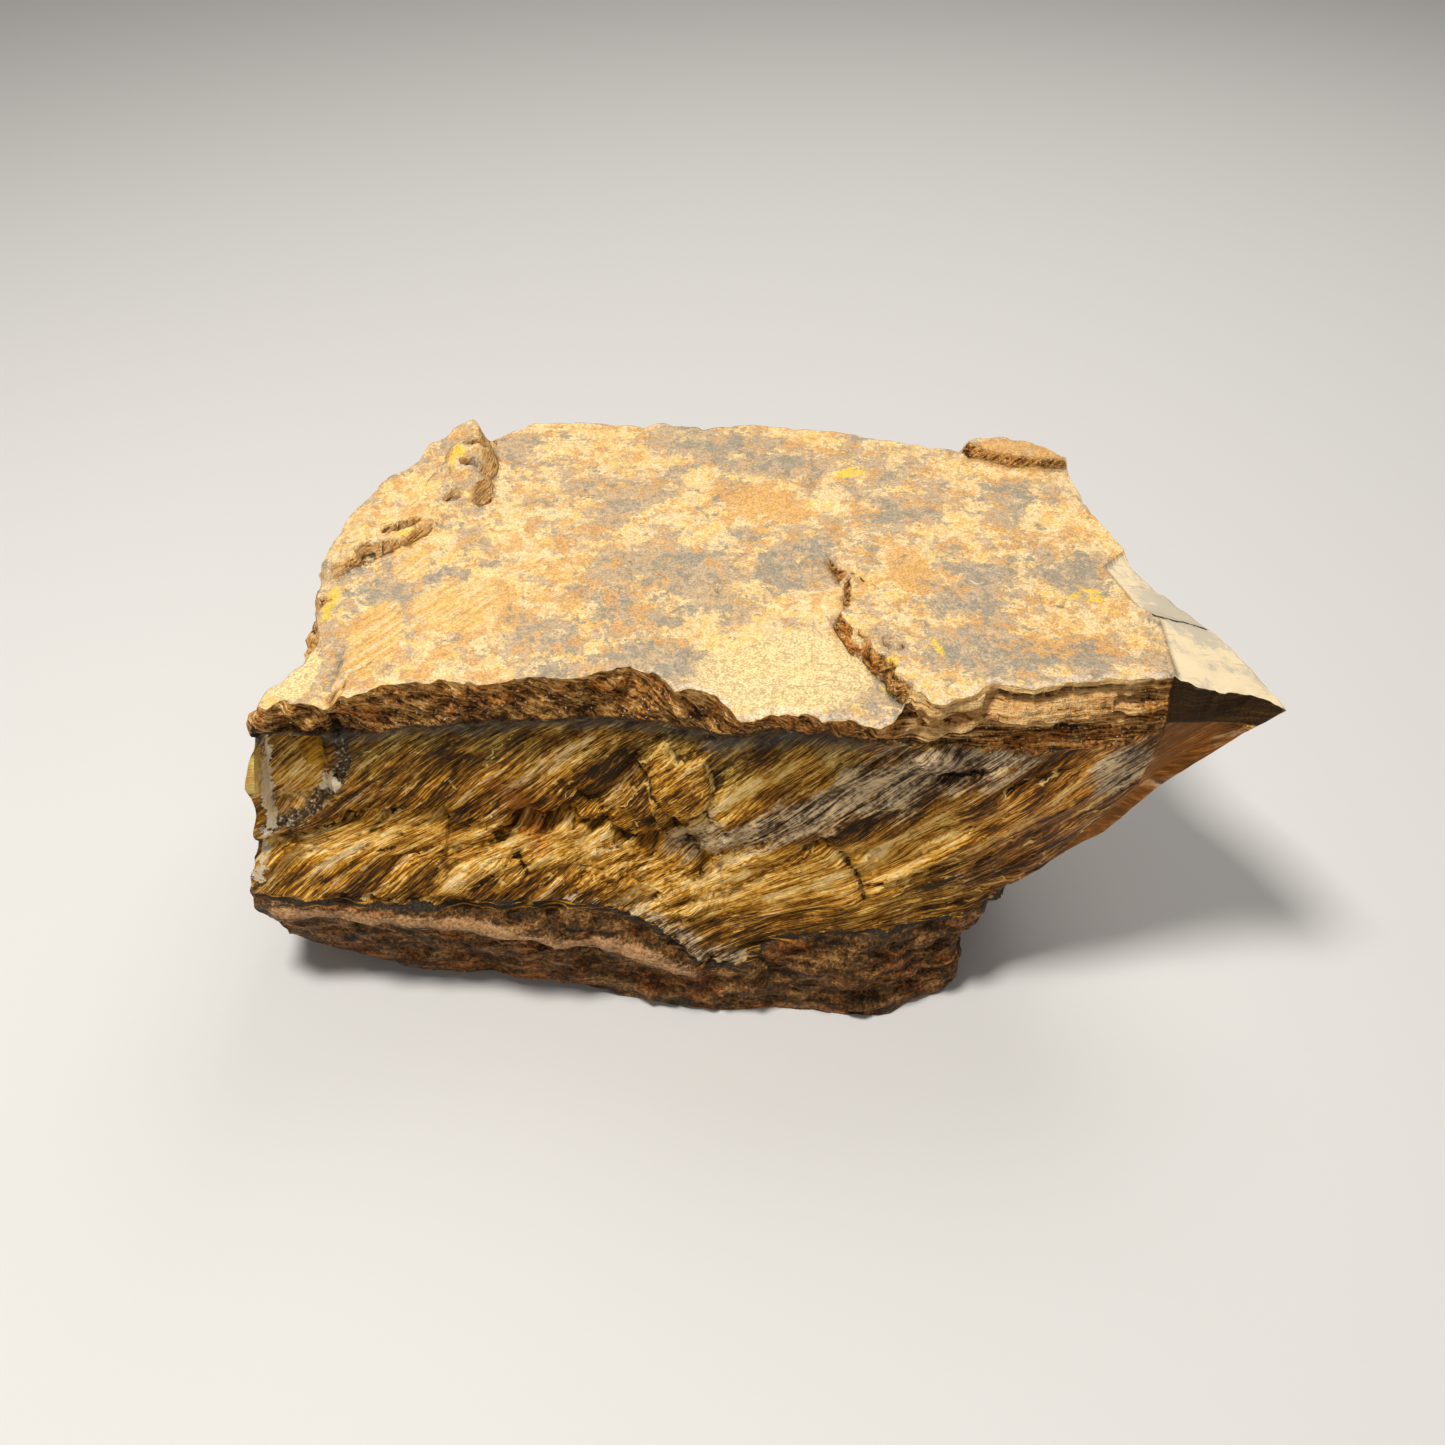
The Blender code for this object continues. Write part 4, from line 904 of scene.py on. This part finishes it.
finish = {
    "umber": (0.016, 0.008, 0.003),
    "brown": (0.105, 0.038, 0.004),
    "goldBrown": (0.265, 0.098, 0.006),
    "gold": (0.62, 0.285, 0.022),
    "straw": (0.94, 0.64, 0.20),
    "pale": (0.97, 0.84, 0.50),
    "olive": (0.135, 0.080, 0.011),
    "oliveLight": (0.45, 0.30, 0.065),
    "amber": (0.62, 0.30, 0.018),
    "rustRed": (0.32, 0.085, 0.020),
    "hawkDark": (0.030, 0.023, 0.018),
    "jointGrey": (0.105, 0.098, 0.090),
    "hawkGrey": (0.250, 0.165, 0.092),
    "hawkLight": (0.66, 0.51, 0.32),
    "quartz": (0.78, 0.70, 0.58),
    "cream": (0.85, 0.62, 0.33),
    "golden": (0.90, 0.56, 0.17),
    "taupe": (0.44, 0.32, 0.215),
    "slate": (0.345, 0.300, 0.225),
    "orangeTan": (0.66, 0.34, 0.100),
    "sandy": (0.86, 0.66, 0.34),
    "sandyGrain": (0.74, 0.53, 0.25),
    "yellow": (0.94, 0.62, 0.07),
    "lemon": (0.74, 0.56, 0.15),
    # grey-cream of the crest: pale stone and painted sheen
    "paleCrestAndSheen": (0.76, 0.66, 0.52),
    "buff": (0.92, 0.72, 0.44),
    "point": (0.86, 0.70, 0.45),
    "pointShade": (0.53, 0.47, 0.37),
    "tornDark": (0.022, 0.011, 0.005),
    "tornBrown": (0.200, 0.086, 0.020),
    "tornOchre": (0.60, 0.290, 0.066),
    "tornLight": (0.92, 0.64, 0.27),
    "sheet": (0.78, 0.46, 0.185),
    # dark brown of the lip, darkened further as painted shade
    "lip": (0.030, 0.013, 0.005),
    "facet": (0.35, 0.135, 0.020),
    "rockBlack": (0.018, 0.011, 0.006),
    "rockBrown": (0.104, 0.045, 0.012),
    "rockTan": (0.355, 0.175, 0.058),
    "rockPink": (0.60, 0.35, 0.18),
    "gloss": 0.25,
    "warmGloss": (1.0, 0.80, 0.50),
}


class NodeBench:
    # short words for the nodes that the stone's finish is built from
    def __init__(self, material):
        self.nodes, self.links = material.node_tree.nodes, material.node_tree.links

    def put(self, value, socket):
        if isinstance(value, bpy.types.NodeSocket):
            self.links.new(value, socket)
        elif isinstance(value, tuple) and socket.type == "RGBA":
            socket.default_value = (*value, 1.0)
        else:
            socket.default_value = value

    def sums(self, operation, *values):
        made = self.nodes.new("ShaderNodeMath")
        made.operation = operation
        for value, socket in zip(values, made.inputs):
            self.put(value, socket)
        return made.outputs[0]

    def plus(self, *values):
        total = values[0]
        for value in values[1:]:
            total = self.sums("ADD", total, value)
        return total

    def times(self, *values):
        total = values[0]
        for value in values[1:]:
            total = self.sums("MULTIPLY", total, value)
        return total

    def within(self, value, low, high, start=0.0, end=1.0):
        made = self.nodes.new("ShaderNodeMapRange")
        made.interpolation_type = "SMOOTHSTEP"
        for place, number in enumerate((value, low, high, start, end)):
            self.put(number, made.inputs[place])
        return made.outputs[0]

    def moved(self, vector, factors, shift=(0.0, 0.0, 0.0)):
        made = self.nodes.new("ShaderNodeVectorMath")
        made.operation = "MULTIPLY_ADD"
        for value, socket in zip((vector, factors, shift), made.inputs):
            self.put(value, socket)
        return made.outputs[0]

    def noiseNode(self, vector, sizes, detail, roughness, distortion, seed):
        made = self.nodes.new("ShaderNodeTexNoise")
        sizes = sizes if isinstance(sizes, tuple) else (sizes, sizes, sizes)
        scaled = self.moved(vector, tuple(1.0 / size for size in sizes), (seed, seed, seed))
        self.put(scaled, made.inputs["Vector"])
        made.inputs["Scale"].default_value = 1.0
        made.inputs["Detail"].default_value = detail
        made.inputs["Roughness"].default_value = roughness
        made.inputs["Distortion"].default_value = distortion
        return made

    def noise(self, vector, sizes, detail=2.0, roughness=0.5, distortion=0.0, seed=0.0):
        return self.noiseNode(vector, sizes, detail, roughness, distortion, seed).outputs["Fac"]

    def bent(self, vector, place, size, reach):
        # the vector, pushed about by soft noise
        push = self.noiseNode(place, size, 1.0, 0.5, 0.0, 7.0).outputs["Color"]
        return self.moved(push, reach, self.moved(vector, (1.0, 1.0, 1.0), tuple(-0.5 * part for part in reach)))

    def slivers(self, vector, sizes):
        # one random value for each long cell
        made = self.nodes.new("ShaderNodeTexVoronoi")
        self.put(self.moved(vector, tuple(1.0 / size for size in sizes)), made.inputs["Vector"])
        made.inputs["Scale"].default_value = 1.0
        split = self.nodes.new("ShaderNodeSeparateColor")
        self.links.new(made.outputs["Color"], split.inputs[0])
        return split.outputs[0]

    def chipEdges(self, vector, sizes):
        # 0 on the borders of long cells, rising inwards
        made = self.nodes.new("ShaderNodeTexVoronoi")
        made.feature = "DISTANCE_TO_EDGE"
        self.put(self.moved(vector, tuple(1.0 / size for size in sizes)), made.inputs["Vector"])
        made.inputs["Scale"].default_value = 1.0
        return made.outputs["Distance"]

    def blend(self, factor, a, b):
        made = self.nodes.new("ShaderNodeMix")
        self.put(factor, made.inputs[0])
        self.put(a, made.inputs[2])
        self.put(b, made.inputs[3])
        return made.outputs[0]

    def mixed(self, factor, a, b, mode="MIX"):
        made = self.nodes.new("ShaderNodeMix")
        made.data_type = "RGBA"
        made.blend_type = mode
        self.put(factor, made.inputs[0])
        self.put(a, made.inputs[6])
        self.put(b, made.inputs[7])
        return made.outputs[2]

    def ramp(self, value, *stops):
        made = self.nodes.new("ShaderNodeValToRGB")
        self.put(value, made.inputs[0])
        elements = made.color_ramp.elements
        while len(elements) < len(stops):
            elements.new(0.5)
        for element, (place, colour) in zip(elements, stops):
            element.position = place
            element.color = (*finish[colour], 1.0)
        return made.outputs[0]

    def turned(self, vector, degrees):
        made = self.nodes.new("ShaderNodeVectorRotate")
        made.rotation_type = "Z_AXIS"
        self.put(vector, made.inputs["Vector"])
        made.inputs["Angle"].default_value = math.radians(-degrees)
        return made.outputs[0]

    def lengthways(self, vector):
        made = self.nodes.new("ShaderNodeSeparateXYZ")
        self.put(vector, made.inputs[0])
        return made.outputs[0]

    def attribute(self, name):
        made = self.nodes.new("ShaderNodeAttribute")
        made.attribute_name = name
        return made

    def value(self, name):
        return self.attribute(name).outputs["Fac"]

    def channels(self, name):
        source = self.attribute(name)
        split = self.nodes.new("ShaderNodeSeparateColor")
        self.links.new(source.outputs["Color"], split.inputs[0])
        return split.outputs[0], split.outputs[1], split.outputs[2], source.outputs["Alpha"]


def seamFinish(bench, place, fibre):
    hawk, straw, olive, rust = bench.channels("seam")
    fibre = bench.bent(fibre, place, 9.0, (0.0, 0.4, 0.0))
    broad = bench.noise(fibre, (26.0, 3.0, 9.0), 1.0)
    streak = bench.noise(fibre, (15.0, 0.7, 3.0), 3.0, 0.68)
    thread = bench.noise(fibre, (2.6, 0.17, 1.2), 1.5, 0.72)
    blotch = bench.noise(place, 4.0, 3.0, 0.65)
    sliver = bench.slivers(fibre, (7.0, 1.1, 3.0))
    splint = bench.slivers(fibre, (2.8, 0.32, 2.0))
    fleck = bench.noise(place, 0.5, 2.0, 0.72)
    silk = bench.plus(
        bench.times(broad, 0.60), bench.times(streak, 0.70), bench.times(thread, 0.95), bench.times(blotch, 0.35),
        bench.times(sliver, 0.14), bench.times(splint, 0.16), bench.times(fleck, 0.22), -1.10,
    )
    tone = bench.plus(silk, bench.times(straw, 0.23), bench.times(olive, -0.04))
    gold = bench.ramp(tone, (0.26, "umber"), (0.38, "brown"), (0.50, "goldBrown"), (0.65, "gold"), (0.82, "straw"), (0.98, "pale"))
    greenish = bench.ramp(tone, (0.24, "umber"), (0.42, "olive"), (0.62, "oliveLight"), (0.84, "straw"))
    rough = bench.plus(bench.times(silk, 1.0), bench.times(fleck, 0.36), bench.times(blotch, 0.30), -0.27)
    grey = bench.ramp(rough, (0.28, "hawkDark"), (0.46, "hawkGrey"), (0.64, "hawkLight"), (0.80, "cream"))
    colour = bench.mixed(bench.times(olive, bench.within(blotch, 0.34, 0.64)), gold, greenish)
    redder = bench.mixed(0.7, colour, finish["facet"], "OVERLAY")
    colour = bench.mixed(bench.times(rust, 0.8), colour, redder)
    colour = bench.mixed(bench.times(bench.within(rust, 0.6, 1.0), 0.45), colour, finish["facet"])
    edge = bench.plus(hawk, bench.times(streak, 2.8), bench.times(broad, 1.8), bench.times(blotch, 1.4), -3.0)
    hawkMask = bench.times(bench.within(edge, 0.30, 0.90), 0.94)
    colour = bench.mixed(hawkMask, colour, grey)
    # pale ends of the splinters, partly painted highlight, and painted glints along them
    chips = bench.chipEdges(bench.bent(fibre, place, 1.0, (1.6, 0.9, 0.6)), (6.0, 2.0, 3.0))
    ends = bench.times(bench.within(chips, 0.045, 0.015), bench.within(bench.plus(blotch, streak), 1.02, 1.16))
    glint = bench.within(bench.noise(fibre, (1.3, 0.13, 1.0), 0.0, 0.6, 0.0, 3.0), 0.66, 0.74)
    paleAndPaintedLight = bench.sums("MAXIMUM", ends, bench.times(glint, bench.within(tone, 0.40, 0.60), 0.7))
    paleAndPaintedLight = bench.times(paleAndPaintedLight, bench.within(rust, 0.95, 0.55))
    colour = bench.mixed(bench.times(paleAndPaintedLight, 0.75), colour, finish["straw"])
    height = bench.plus(
        bench.times(streak, 0.45), bench.times(thread, 0.20), bench.times(sliver, 0.24),
        bench.times(fleck, bench.plus(0.10, bench.times(hawk, 0.25))),
    )
    return colour, height, tone


def crustFinish(bench, place):
    sheen, yellow, pale, orange = bench.channels("crust")
    paleCrestAndSheen, point, _, left = bench.channels("place")
    warp = bench.bent(place, place, 2.2, (1.7, 1.7, 1.7))
    goldStain = bench.noise(warp, 4.2, 5.0, 0.76, 0.0, 1.0)
    greyStain = bench.noise(warp, 4.4, 5.0, 0.76, 0.0, 4.0)
    rustStain = bench.noise(warp, 2.6, 5.0, 0.76, 0.0, 9.0)
    slateStain = bench.noise(warp, 3.4, 5.0, 0.76, 0.0, 14.0)
    region = bench.noise(place, 16.0, 1.0, 0.5, 0.0, 21.0)
    small = bench.noise(place, 1.3, 3.0, 0.72, 0.0, 31.0)
    speckle = bench.noise(place, 0.7, 2.0, 0.7)
    grain = bench.noise(place, 0.24, 0.0, 0.6)
    colour = bench.mixed(bench.times(bench.within(goldStain, 0.47, 0.53), 0.8), finish["cream"], finish["golden"])
    lighter = bench.times(bench.within(bench.plus(goldStain, small), 1.02, 1.12), 0.6)
    colour = bench.mixed(lighter, colour, finish["buff"])
    greyer = bench.plus(
        bench.times(greyStain, 0.8), bench.times(small, 0.35), bench.times(region, 0.40), bench.times(sheen, 0.06),
        bench.times(pale, -0.12), -0.265,
    )
    colour = bench.mixed(bench.times(bench.within(greyer, 0.49, 0.55), 0.78), colour, finish["taupe"])
    rustier = bench.plus(
        bench.times(rustStain, 0.8), bench.times(small, 0.25), bench.times(orange, 0.12), bench.times(region, -0.15),
        bench.times(pale, -0.08), 0.05,
    )
    colour = bench.mixed(bench.times(bench.within(rustier, 0.51, 0.575), 0.72), colour, finish["orangeTan"])
    darker = bench.plus(
        bench.times(slateStain, 0.8), bench.times(small, -0.35), bench.times(sheen, 0.055), bench.times(region, 0.25),
        bench.times(pale, -0.10), 0.145,
    )
    colour = bench.mixed(bench.times(bench.within(darker, 0.54, 0.60), 0.85), colour, finish["slate"])
    # strokes that climb the left slope
    turned = bench.turned(place, 52.0)
    stroke = bench.noise(turned, (7.0, 0.7, 3.0), 3.0, 0.7)
    stroked = bench.ramp(stroke, (0.36, "orangeTan"), (0.50, "golden"), (0.64, "buff"))
    sloping = bench.times(bench.within(bench.plus(orange, bench.times(greyStain, 1.2)), 0.95, 1.35), left, 0.6)
    colour = bench.mixed(sloping, colour, stroked)
    sanded = bench.within(bench.plus(speckle, bench.times(grain, 0.9)), 1.04, 0.84)
    sand = bench.mixed(sanded, finish["sandy"], finish["sandyGrain"])
    sandier = bench.plus(pale, bench.times(bench.plus(greyStain, region, -1.0), 2.2))
    colour = bench.mixed(bench.times(bench.within(sandier, 0.45, 0.95), 0.85), colour, sand)
    yellower = bench.plus(bench.times(yellow, 0.25), bench.times(bench.plus(rustStain, goldStain), 0.6))
    colour = bench.mixed(bench.times(bench.within(yellower, 0.78, 0.88), 0.8), colour, finish["yellow"])
    # the crest: pale stone with a painted sheen along the front edge
    paleCrestAndSheenMask = bench.within(bench.plus(paleCrestAndSheen, bench.times(bench.plus(small, rustStain, -1.0), 2.2)), 0.50, 0.80)
    colour = bench.mixed(bench.times(paleCrestAndSheenMask, 0.5), colour, finish["paleCrestAndSheen"])
    silvered = bench.within(bench.plus(greyStain, bench.times(sheen, 0.16)), 0.50, 0.66, 0.0, 0.8)
    tinted = bench.mixed(silvered, finish["point"], finish["pointShade"])
    scratch = bench.within(bench.noise(bench.turned(place, 12.0), (5.0, 0.5, 3.0), 2.0, 0.7), 0.56, 0.72)
    tinted = bench.mixed(bench.times(scratch, 0.5), tinted, finish["taupe"])
    colour = bench.mixed(bench.within(bench.plus(point, bench.times(small, 0.5)), 0.6, 0.9), colour, tinted)
    shade = bench.within(bench.plus(speckle, grain, bench.times(small, 0.6)), 1.0, 1.6, 0.76, 1.14)
    shade = bench.blend(point, shade, 1.0)
    colour = bench.mixed(1.0, colour, shade, "MULTIPLY")
    grainy = bench.plus(bench.times(speckle, 0.24), bench.times(small, 0.30))
    rough = bench.blend(point, grainy, bench.times(speckle, 0.05))
    return colour, rough


def tornFinish(bench, place, fibre, level):
    lip, paleAndPaintedLight = bench.channels("place")[1], bench.channels("place")[3]
    stroke = bench.noise(fibre, (1.7, 0.30, 3.0), 2.0, 0.68)
    chip = bench.slivers(bench.bent(fibre, place, 0.6, (0.6, 0.3, 0.4)), (1.4, 0.45, 2.0))
    blotch = bench.noise(place, 2.4, 3.0, 0.68)
    fine = bench.noise(place, 0.42, 2.0, 0.7)
    redness = bench.noise(place, 5.0, 3.0, 0.7, 0.0, 17.0)
    # painted light and shade as from above: the rim lighter towards its top and darker towards its foot, the top's
    # steep breaks a little darker
    upper = bench.plus(bench.within(level, 1.3, 0.5, -0.04, 0.08), bench.within(level, 0.4, 0.1, 0.0, -0.07))
    tone = bench.plus(
        bench.times(stroke, 1.05), bench.times(blotch, 0.60), bench.times(fine, 0.60), bench.times(chip, 0.16), upper, -0.71
    )
    colour = bench.ramp(tone, (0.28, "tornDark"), (0.43, "tornBrown"), (0.62, "tornOchre"), (0.86, "tornLight"))
    redder = bench.mixed(0.7, colour, finish["orangeTan"], "OVERLAY")
    colour = bench.mixed(bench.times(bench.within(redness, 0.48, 0.60), 0.5), colour, redder)
    # pale stone and painted light: the sheets that lean out and the lit rim at the right take brighter tones
    paleAndLitMask = bench.within(bench.plus(paleAndPaintedLight, bench.times(bench.plus(blotch, stroke, -1.0), 1.2)), 0.30, 0.60)
    paleAndLitTones = bench.ramp(tone, (0.26, "tornBrown"), (0.38, "tornOchre"), (0.54, "sheet"), (0.82, "tornLight"))
    colour = bench.mixed(paleAndLitMask, colour, paleAndLitTones)
    # the lip of the pointed end: dark brown strata with painted shade
    strata = bench.noise(place, (12.0, 12.0, 0.5), 1.0, 0.6)
    dark = bench.mixed(bench.within(strata, 0.5, 0.8, 0.0, 0.4), finish["lip"], finish["tornBrown"])
    colour = bench.mixed(bench.within(lip, 0.4, 0.8), colour, dark)
    # painted glints: quartz-white specks that stand in for highlights
    glint = bench.within(bench.noise(place, 0.3, 0.0), 0.72, 0.80)
    colour = bench.mixed(bench.times(glint, bench.within(lip, 0.5, 0.1), 0.8), colour, finish["quartz"])
    height = bench.plus(
        bench.times(stroke, 0.55), bench.times(fine, 0.42), bench.times(chip, 0.28)
    )
    return colour, height


def rockFinish(bench, place, under):
    paleAndPaintedLight = bench.channels("place")[3]
    strata = bench.noise(place, (10.0, 10.0, 0.8), 3.0, 0.68, 0.3)
    blotch = bench.noise(place, (2.6, 2.6, 1.7), 4.0, 0.72)
    grain = bench.noise(place, 0.45, 2.0, 0.68)
    rusty = bench.within(bench.noise(place, (6.0, 6.0, 4.0), 3.0, 0.68, 0.0, 3.0), 0.46, 0.62)
    tone = bench.plus(bench.times(strata, 0.7), bench.times(blotch, 1.0), bench.times(grain, 0.65), -0.72)
    colour = bench.ramp(tone, (0.30, "rockBlack"), (0.46, "rockBrown"), (0.66, "rockTan"), (0.88, "rockPink"))
    colour = bench.mixed(bench.times(rusty, 0.65), colour, bench.mixed(0.8, colour, finish["orangeTan"], "OVERLAY"))
    # dark strata with golden dashes under the seam, then the pale streak
    thin = bench.noise(place, (8.0, 8.0, 0.40), 2.0, 0.65, 0.0, 2.0)
    bands = bench.mixed(bench.within(thin, 0.57, 0.66), finish["hawkDark"], finish["gold"])
    banded = bench.within(bench.plus(under, bench.times(strata, 1.6), bench.times(grain, 0.8)), 2.6, 1.6)
    colour = bench.mixed(banded, colour, bands)
    pale = bench.plus(paleAndPaintedLight, bench.times(bench.plus(strata, -0.5), 1.2), bench.times(bench.plus(grain, -0.5), 0.5))
    tanned = bench.mixed(bench.within(grain, 0.35, 0.65), finish["rockTan"], finish["rockPink"])
    colour = bench.mixed(bench.times(bench.within(pale, 0.35, 0.80), 0.85), colour, tanned)
    return colour, bench.plus(bench.times(blotch, 0.70), bench.times(grain, 0.35))


def markFinish(bench, place, fibre, colour, height, inSeam):
    # quartz veins, grey joints, amber, pale broken edges and painted shade in the cracks, over everything else
    quartz, crackShade, paleEdge, amber = bench.channels("mark")
    grey = bench.channels("place")[2]
    lemon = bench.channels("crust")[1]
    jag = bench.plus(bench.noise(place, 1.2, 3.0, 0.75), -0.5)
    patch = bench.noise(place, 2.2, 2.0, 0.65, 0.0, 5.0)
    speck = bench.noise(place, 0.5, 1.0, 0.7, 0.0, 11.0)
    thread = bench.noise(fibre, (6.0, 0.4, 2.0), 2.0, 0.7)
    ambered = bench.ramp(bench.plus(thread, bench.times(patch, 0.5), -0.25), (0.30, "brown"), (0.52, "amber"), (0.75, "gold"))
    colour = bench.mixed(bench.times(bench.within(bench.plus(amber, jag), 0.3, 0.6), inSeam), colour, ambered)
    lemoned = bench.mixed(bench.within(patch, 0.35, 0.65), finish["tornOchre"], finish["lemon"])
    colour = bench.mixed(bench.times(bench.within(bench.plus(lemon, jag), 0.35, 0.6), inSeam), colour, lemoned)
    joint = bench.ramp(speck, (0.34, "umber"), (0.50, "hawkDark"), (0.62, "hawkGrey"), (0.76, "quartz"))
    greyMask = bench.within(bench.plus(grey, bench.times(jag, 1.4), bench.times(patch, 0.3)), 0.50, 0.80)
    colour = bench.mixed(bench.times(greyMask, 0.9), colour, joint)
    veined = bench.within(bench.plus(quartz, bench.times(jag, 1.7), bench.times(patch, 0.6)), 0.82, 1.0)
    milky = bench.ramp(speck, (0.26, "hawkLight"), (0.44, "tornLight"), (0.54, "quartz"))
    colour = bench.mixed(veined, colour, milky)
    broken = bench.times(
        bench.within(bench.plus(paleEdge, bench.times(jag, 0.7)), 0.82, 0.94), bench.within(patch, 0.40, 0.50)
    )
    colour = bench.mixed(bench.times(broken, 0.7), colour, finish["straw"])
    # painted shade: umber in the cracks, pits and the quartz hole
    gaping = bench.plus(crackShade, bench.times(jag, 0.9), bench.times(patch, 0.5))
    crackShadeCore = bench.within(gaping, 1.16, 1.30)
    colour = bench.mixed(bench.times(crackShadeCore, 0.92), colour, finish["umber"])
    height = bench.plus(height, bench.times(crackShadeCore, -0.6))
    return colour, height


def stoneFinish():
    material = bpy.data.materials.new("tigersEyeRough")
    material.use_nodes = True
    bench = NodeBench(material)
    shader = bench.nodes["Principled BSDF"]
    coordinates = bench.nodes.new("ShaderNodeTexCoord")
    place = bench.moved(coordinates.outputs["Object"], (1000.0, 1000.0, 1000.0))
    fibre = bench.attribute("fibre").outputs["Vector"]
    level, under, relief, steep = (bench.value(name) for name in ("level", "under", "relief", "steep"))
    wobble = bench.plus(bench.noise(place, 2.2, 4.0, 0.65), -0.5)
    seam, seamHeight, tone = seamFinish(bench, place, fibre)
    crust, crustHeight = crustFinish(bench, place)
    torn, tornHeight = tornFinish(bench, place, fibre, level)
    rock, rockHeight = rockFinish(bench, place, under)
    # the broken rim and the steep breaks of the top, then the seam, then the rock under it
    broken = bench.within(bench.plus(steep, bench.times(wobble, 0.3)), 0.22, 0.42)
    inRim = bench.sums("MAXIMUM", bench.within(level, 0.42, 0.5), broken)
    inSeam = bench.within(bench.plus(level, bench.times(wobble, 0.16)), 1.49, 1.52)
    inRock = bench.within(bench.plus(under, bench.times(wobble, 3.0)), -0.1, 0.15)
    colour, height = crust, crustHeight
    for mask, other, otherHeight in ((inRim, torn, tornHeight), (inSeam, seam, seamHeight), (inRock, rock, rockHeight)):
        colour = bench.mixed(mask, colour, other)
        height = bench.blend(mask, height, otherHeight)
    colour, height = markFinish(bench, place, fibre, colour, height, inSeam)
    # blue-grey line at the rim's foot, painted shade in the hollows, painted highlight on the raised edges
    joint = bench.plus(level, bench.times(wobble, 0.10))
    leftwards = bench.within(bench.lengthways(place), 20.0, 11.0, 0.25, 1.0)
    foot = bench.times(bench.within(joint, 1.44, 1.48), bench.within(joint, 1.60, 1.53), leftwards)
    greyed = bench.mixed(bench.within(joint, 1.50, 1.56), finish["hawkDark"], finish["jointGrey"])
    colour = bench.mixed(bench.times(foot, 0.8), colour, greyed)
    # painted shade: umber where the relief measure finds a hollow
    colour = bench.mixed(bench.times(bench.within(relief, -0.04, -0.30), 0.75), colour, finish["umber"])
    # painted highlight: a paler colour on the raised edges
    paintedEdgeLight = bench.mixed(0.5, colour, finish["tornLight"])
    onCrust = bench.sums("SUBTRACT", 1.0, bench.times(inSeam, 0.7))
    colour = bench.mixed(bench.times(bench.within(relief, 0.10, 0.45), onCrust, 0.5), colour, paintedEdgeLight)
    bump = bench.nodes.new("ShaderNodeBump")
    bump.inputs["Strength"].default_value = 1.0
    bump.inputs["Distance"].default_value = 0.001
    bench.put(height, bump.inputs["Height"])
    bench.put(colour, shader.inputs["Base Color"])
    bench.put(bench.blend(inSeam, 0.68, bench.within(tone, 0.3, 0.75, 0.52, 0.34)), shader.inputs["Roughness"])
    bench.put(bump.outputs[0], shader.inputs["Normal"])
    shader.inputs["Specular IOR Level"].default_value = finish["gloss"]
    shader.inputs["Specular Tint"].default_value = (*finish["warmGloss"], 1.0)
    return material


# ---- floor, light and camera ------------------------------------------------------------------------------

studio = {
    "floorRadius": 4.0,
    "floorColour": (0.70, 0.69, 0.67),
    "sky": (0.95, 0.94, 0.92),
    "skyStrength": 0.15,
    # name: place, size, watts and colour
    "lamps": {
        "key": ((-0.15, -0.09, 0.50), 0.11, 2.45, (1.0, 0.97, 0.92)),
        "back": ((0.12, 0.28, 0.42), 0.30, 0.8, (1.0, 0.97, 0.94)),
        "frontFill": ((0.10, -0.55, 0.25), 0.40, 0.45, (1.0, 0.98, 0.95)),
    },
    "aim": (0.0, 0.0, 0.022),
}

camera = {
    "place": (-0.0025, -0.157, 0.150),
    "down": 39.7,
    "roll": 0.47,
    "focalPixels": 1500.0,
    "imagePixels": 1445.0,
    "sensor": 36.0,
}


def makeFloor():
    mesh = bmesh.new()
    bmesh.ops.create_circle(mesh, cap_ends=True, segments=96, radius=studio["floorRadius"])
    data = bpy.data.meshes.new("floor")
    mesh.to_mesh(data)
    mesh.free()
    floor = bpy.data.objects.new("floor", data)
    bpy.context.scene.collection.objects.link(floor)
    material = bpy.data.materials.new("paleFloor")
    material.use_nodes = True
    shader = material.node_tree.nodes["Principled BSDF"]
    shader.inputs["Base Color"].default_value = (*studio["floorColour"], 1.0)
    shader.inputs["Roughness"].default_value = 0.7
    data.materials.append(material)
    return floor


def makeLight():
    world = bpy.data.worlds.new("studio")
    bpy.context.scene.world = world
    world.use_nodes = True
    sky = world.node_tree.nodes["Background"]
    sky.inputs["Color"].default_value = (*studio["sky"], 1.0)
    sky.inputs["Strength"].default_value = studio["skyStrength"]
    for name, (place, size, watts, colour) in studio["lamps"].items():
        data = bpy.data.lights.new(name, "AREA")
        data.energy = watts
        data.size = size
        data.color = colour
        lamp = bpy.data.objects.new(name, data)
        lamp.location = place
        lamp.rotation_euler = (Vector(studio["aim"]) - Vector(place)).to_track_quat("-Z", "Y").to_euler()
        bpy.context.scene.collection.objects.link(lamp)


def makeCamera():
    down, roll = math.radians(camera["down"]), math.radians(camera["roll"])
    ahead = Vector((0.0, math.cos(down), -math.sin(down)))
    level = Vector((1.0, 0.0, 0.0))
    upright = level.cross(ahead)
    right = level * math.cos(roll) + upright * math.sin(roll)
    up = upright * math.cos(roll) - level * math.sin(roll)
    data = bpy.data.cameras.new("camera")
    data.sensor_width = camera["sensor"]
    data.lens = camera["focalPixels"] / camera["imagePixels"] * camera["sensor"]
    made = bpy.data.objects.new("camera", data)
    turned = Matrix((right, up, -ahead)).transposed().to_4x4()
    made.matrix_world = Matrix.Translation(camera["place"]) @ turned
    bpy.context.scene.collection.objects.link(made)
    bpy.context.scene.camera = made


roughStone = carvedStone()
roughStone.data.materials.append(stoneFinish())
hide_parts(stone["node"])
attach(roughStone, stone["body"])
print("stone finished")

makeFloor()
makeLight()
makeCamera()
bpy.context.scene.view_settings.view_transform = "Standard"
print("studio ready")
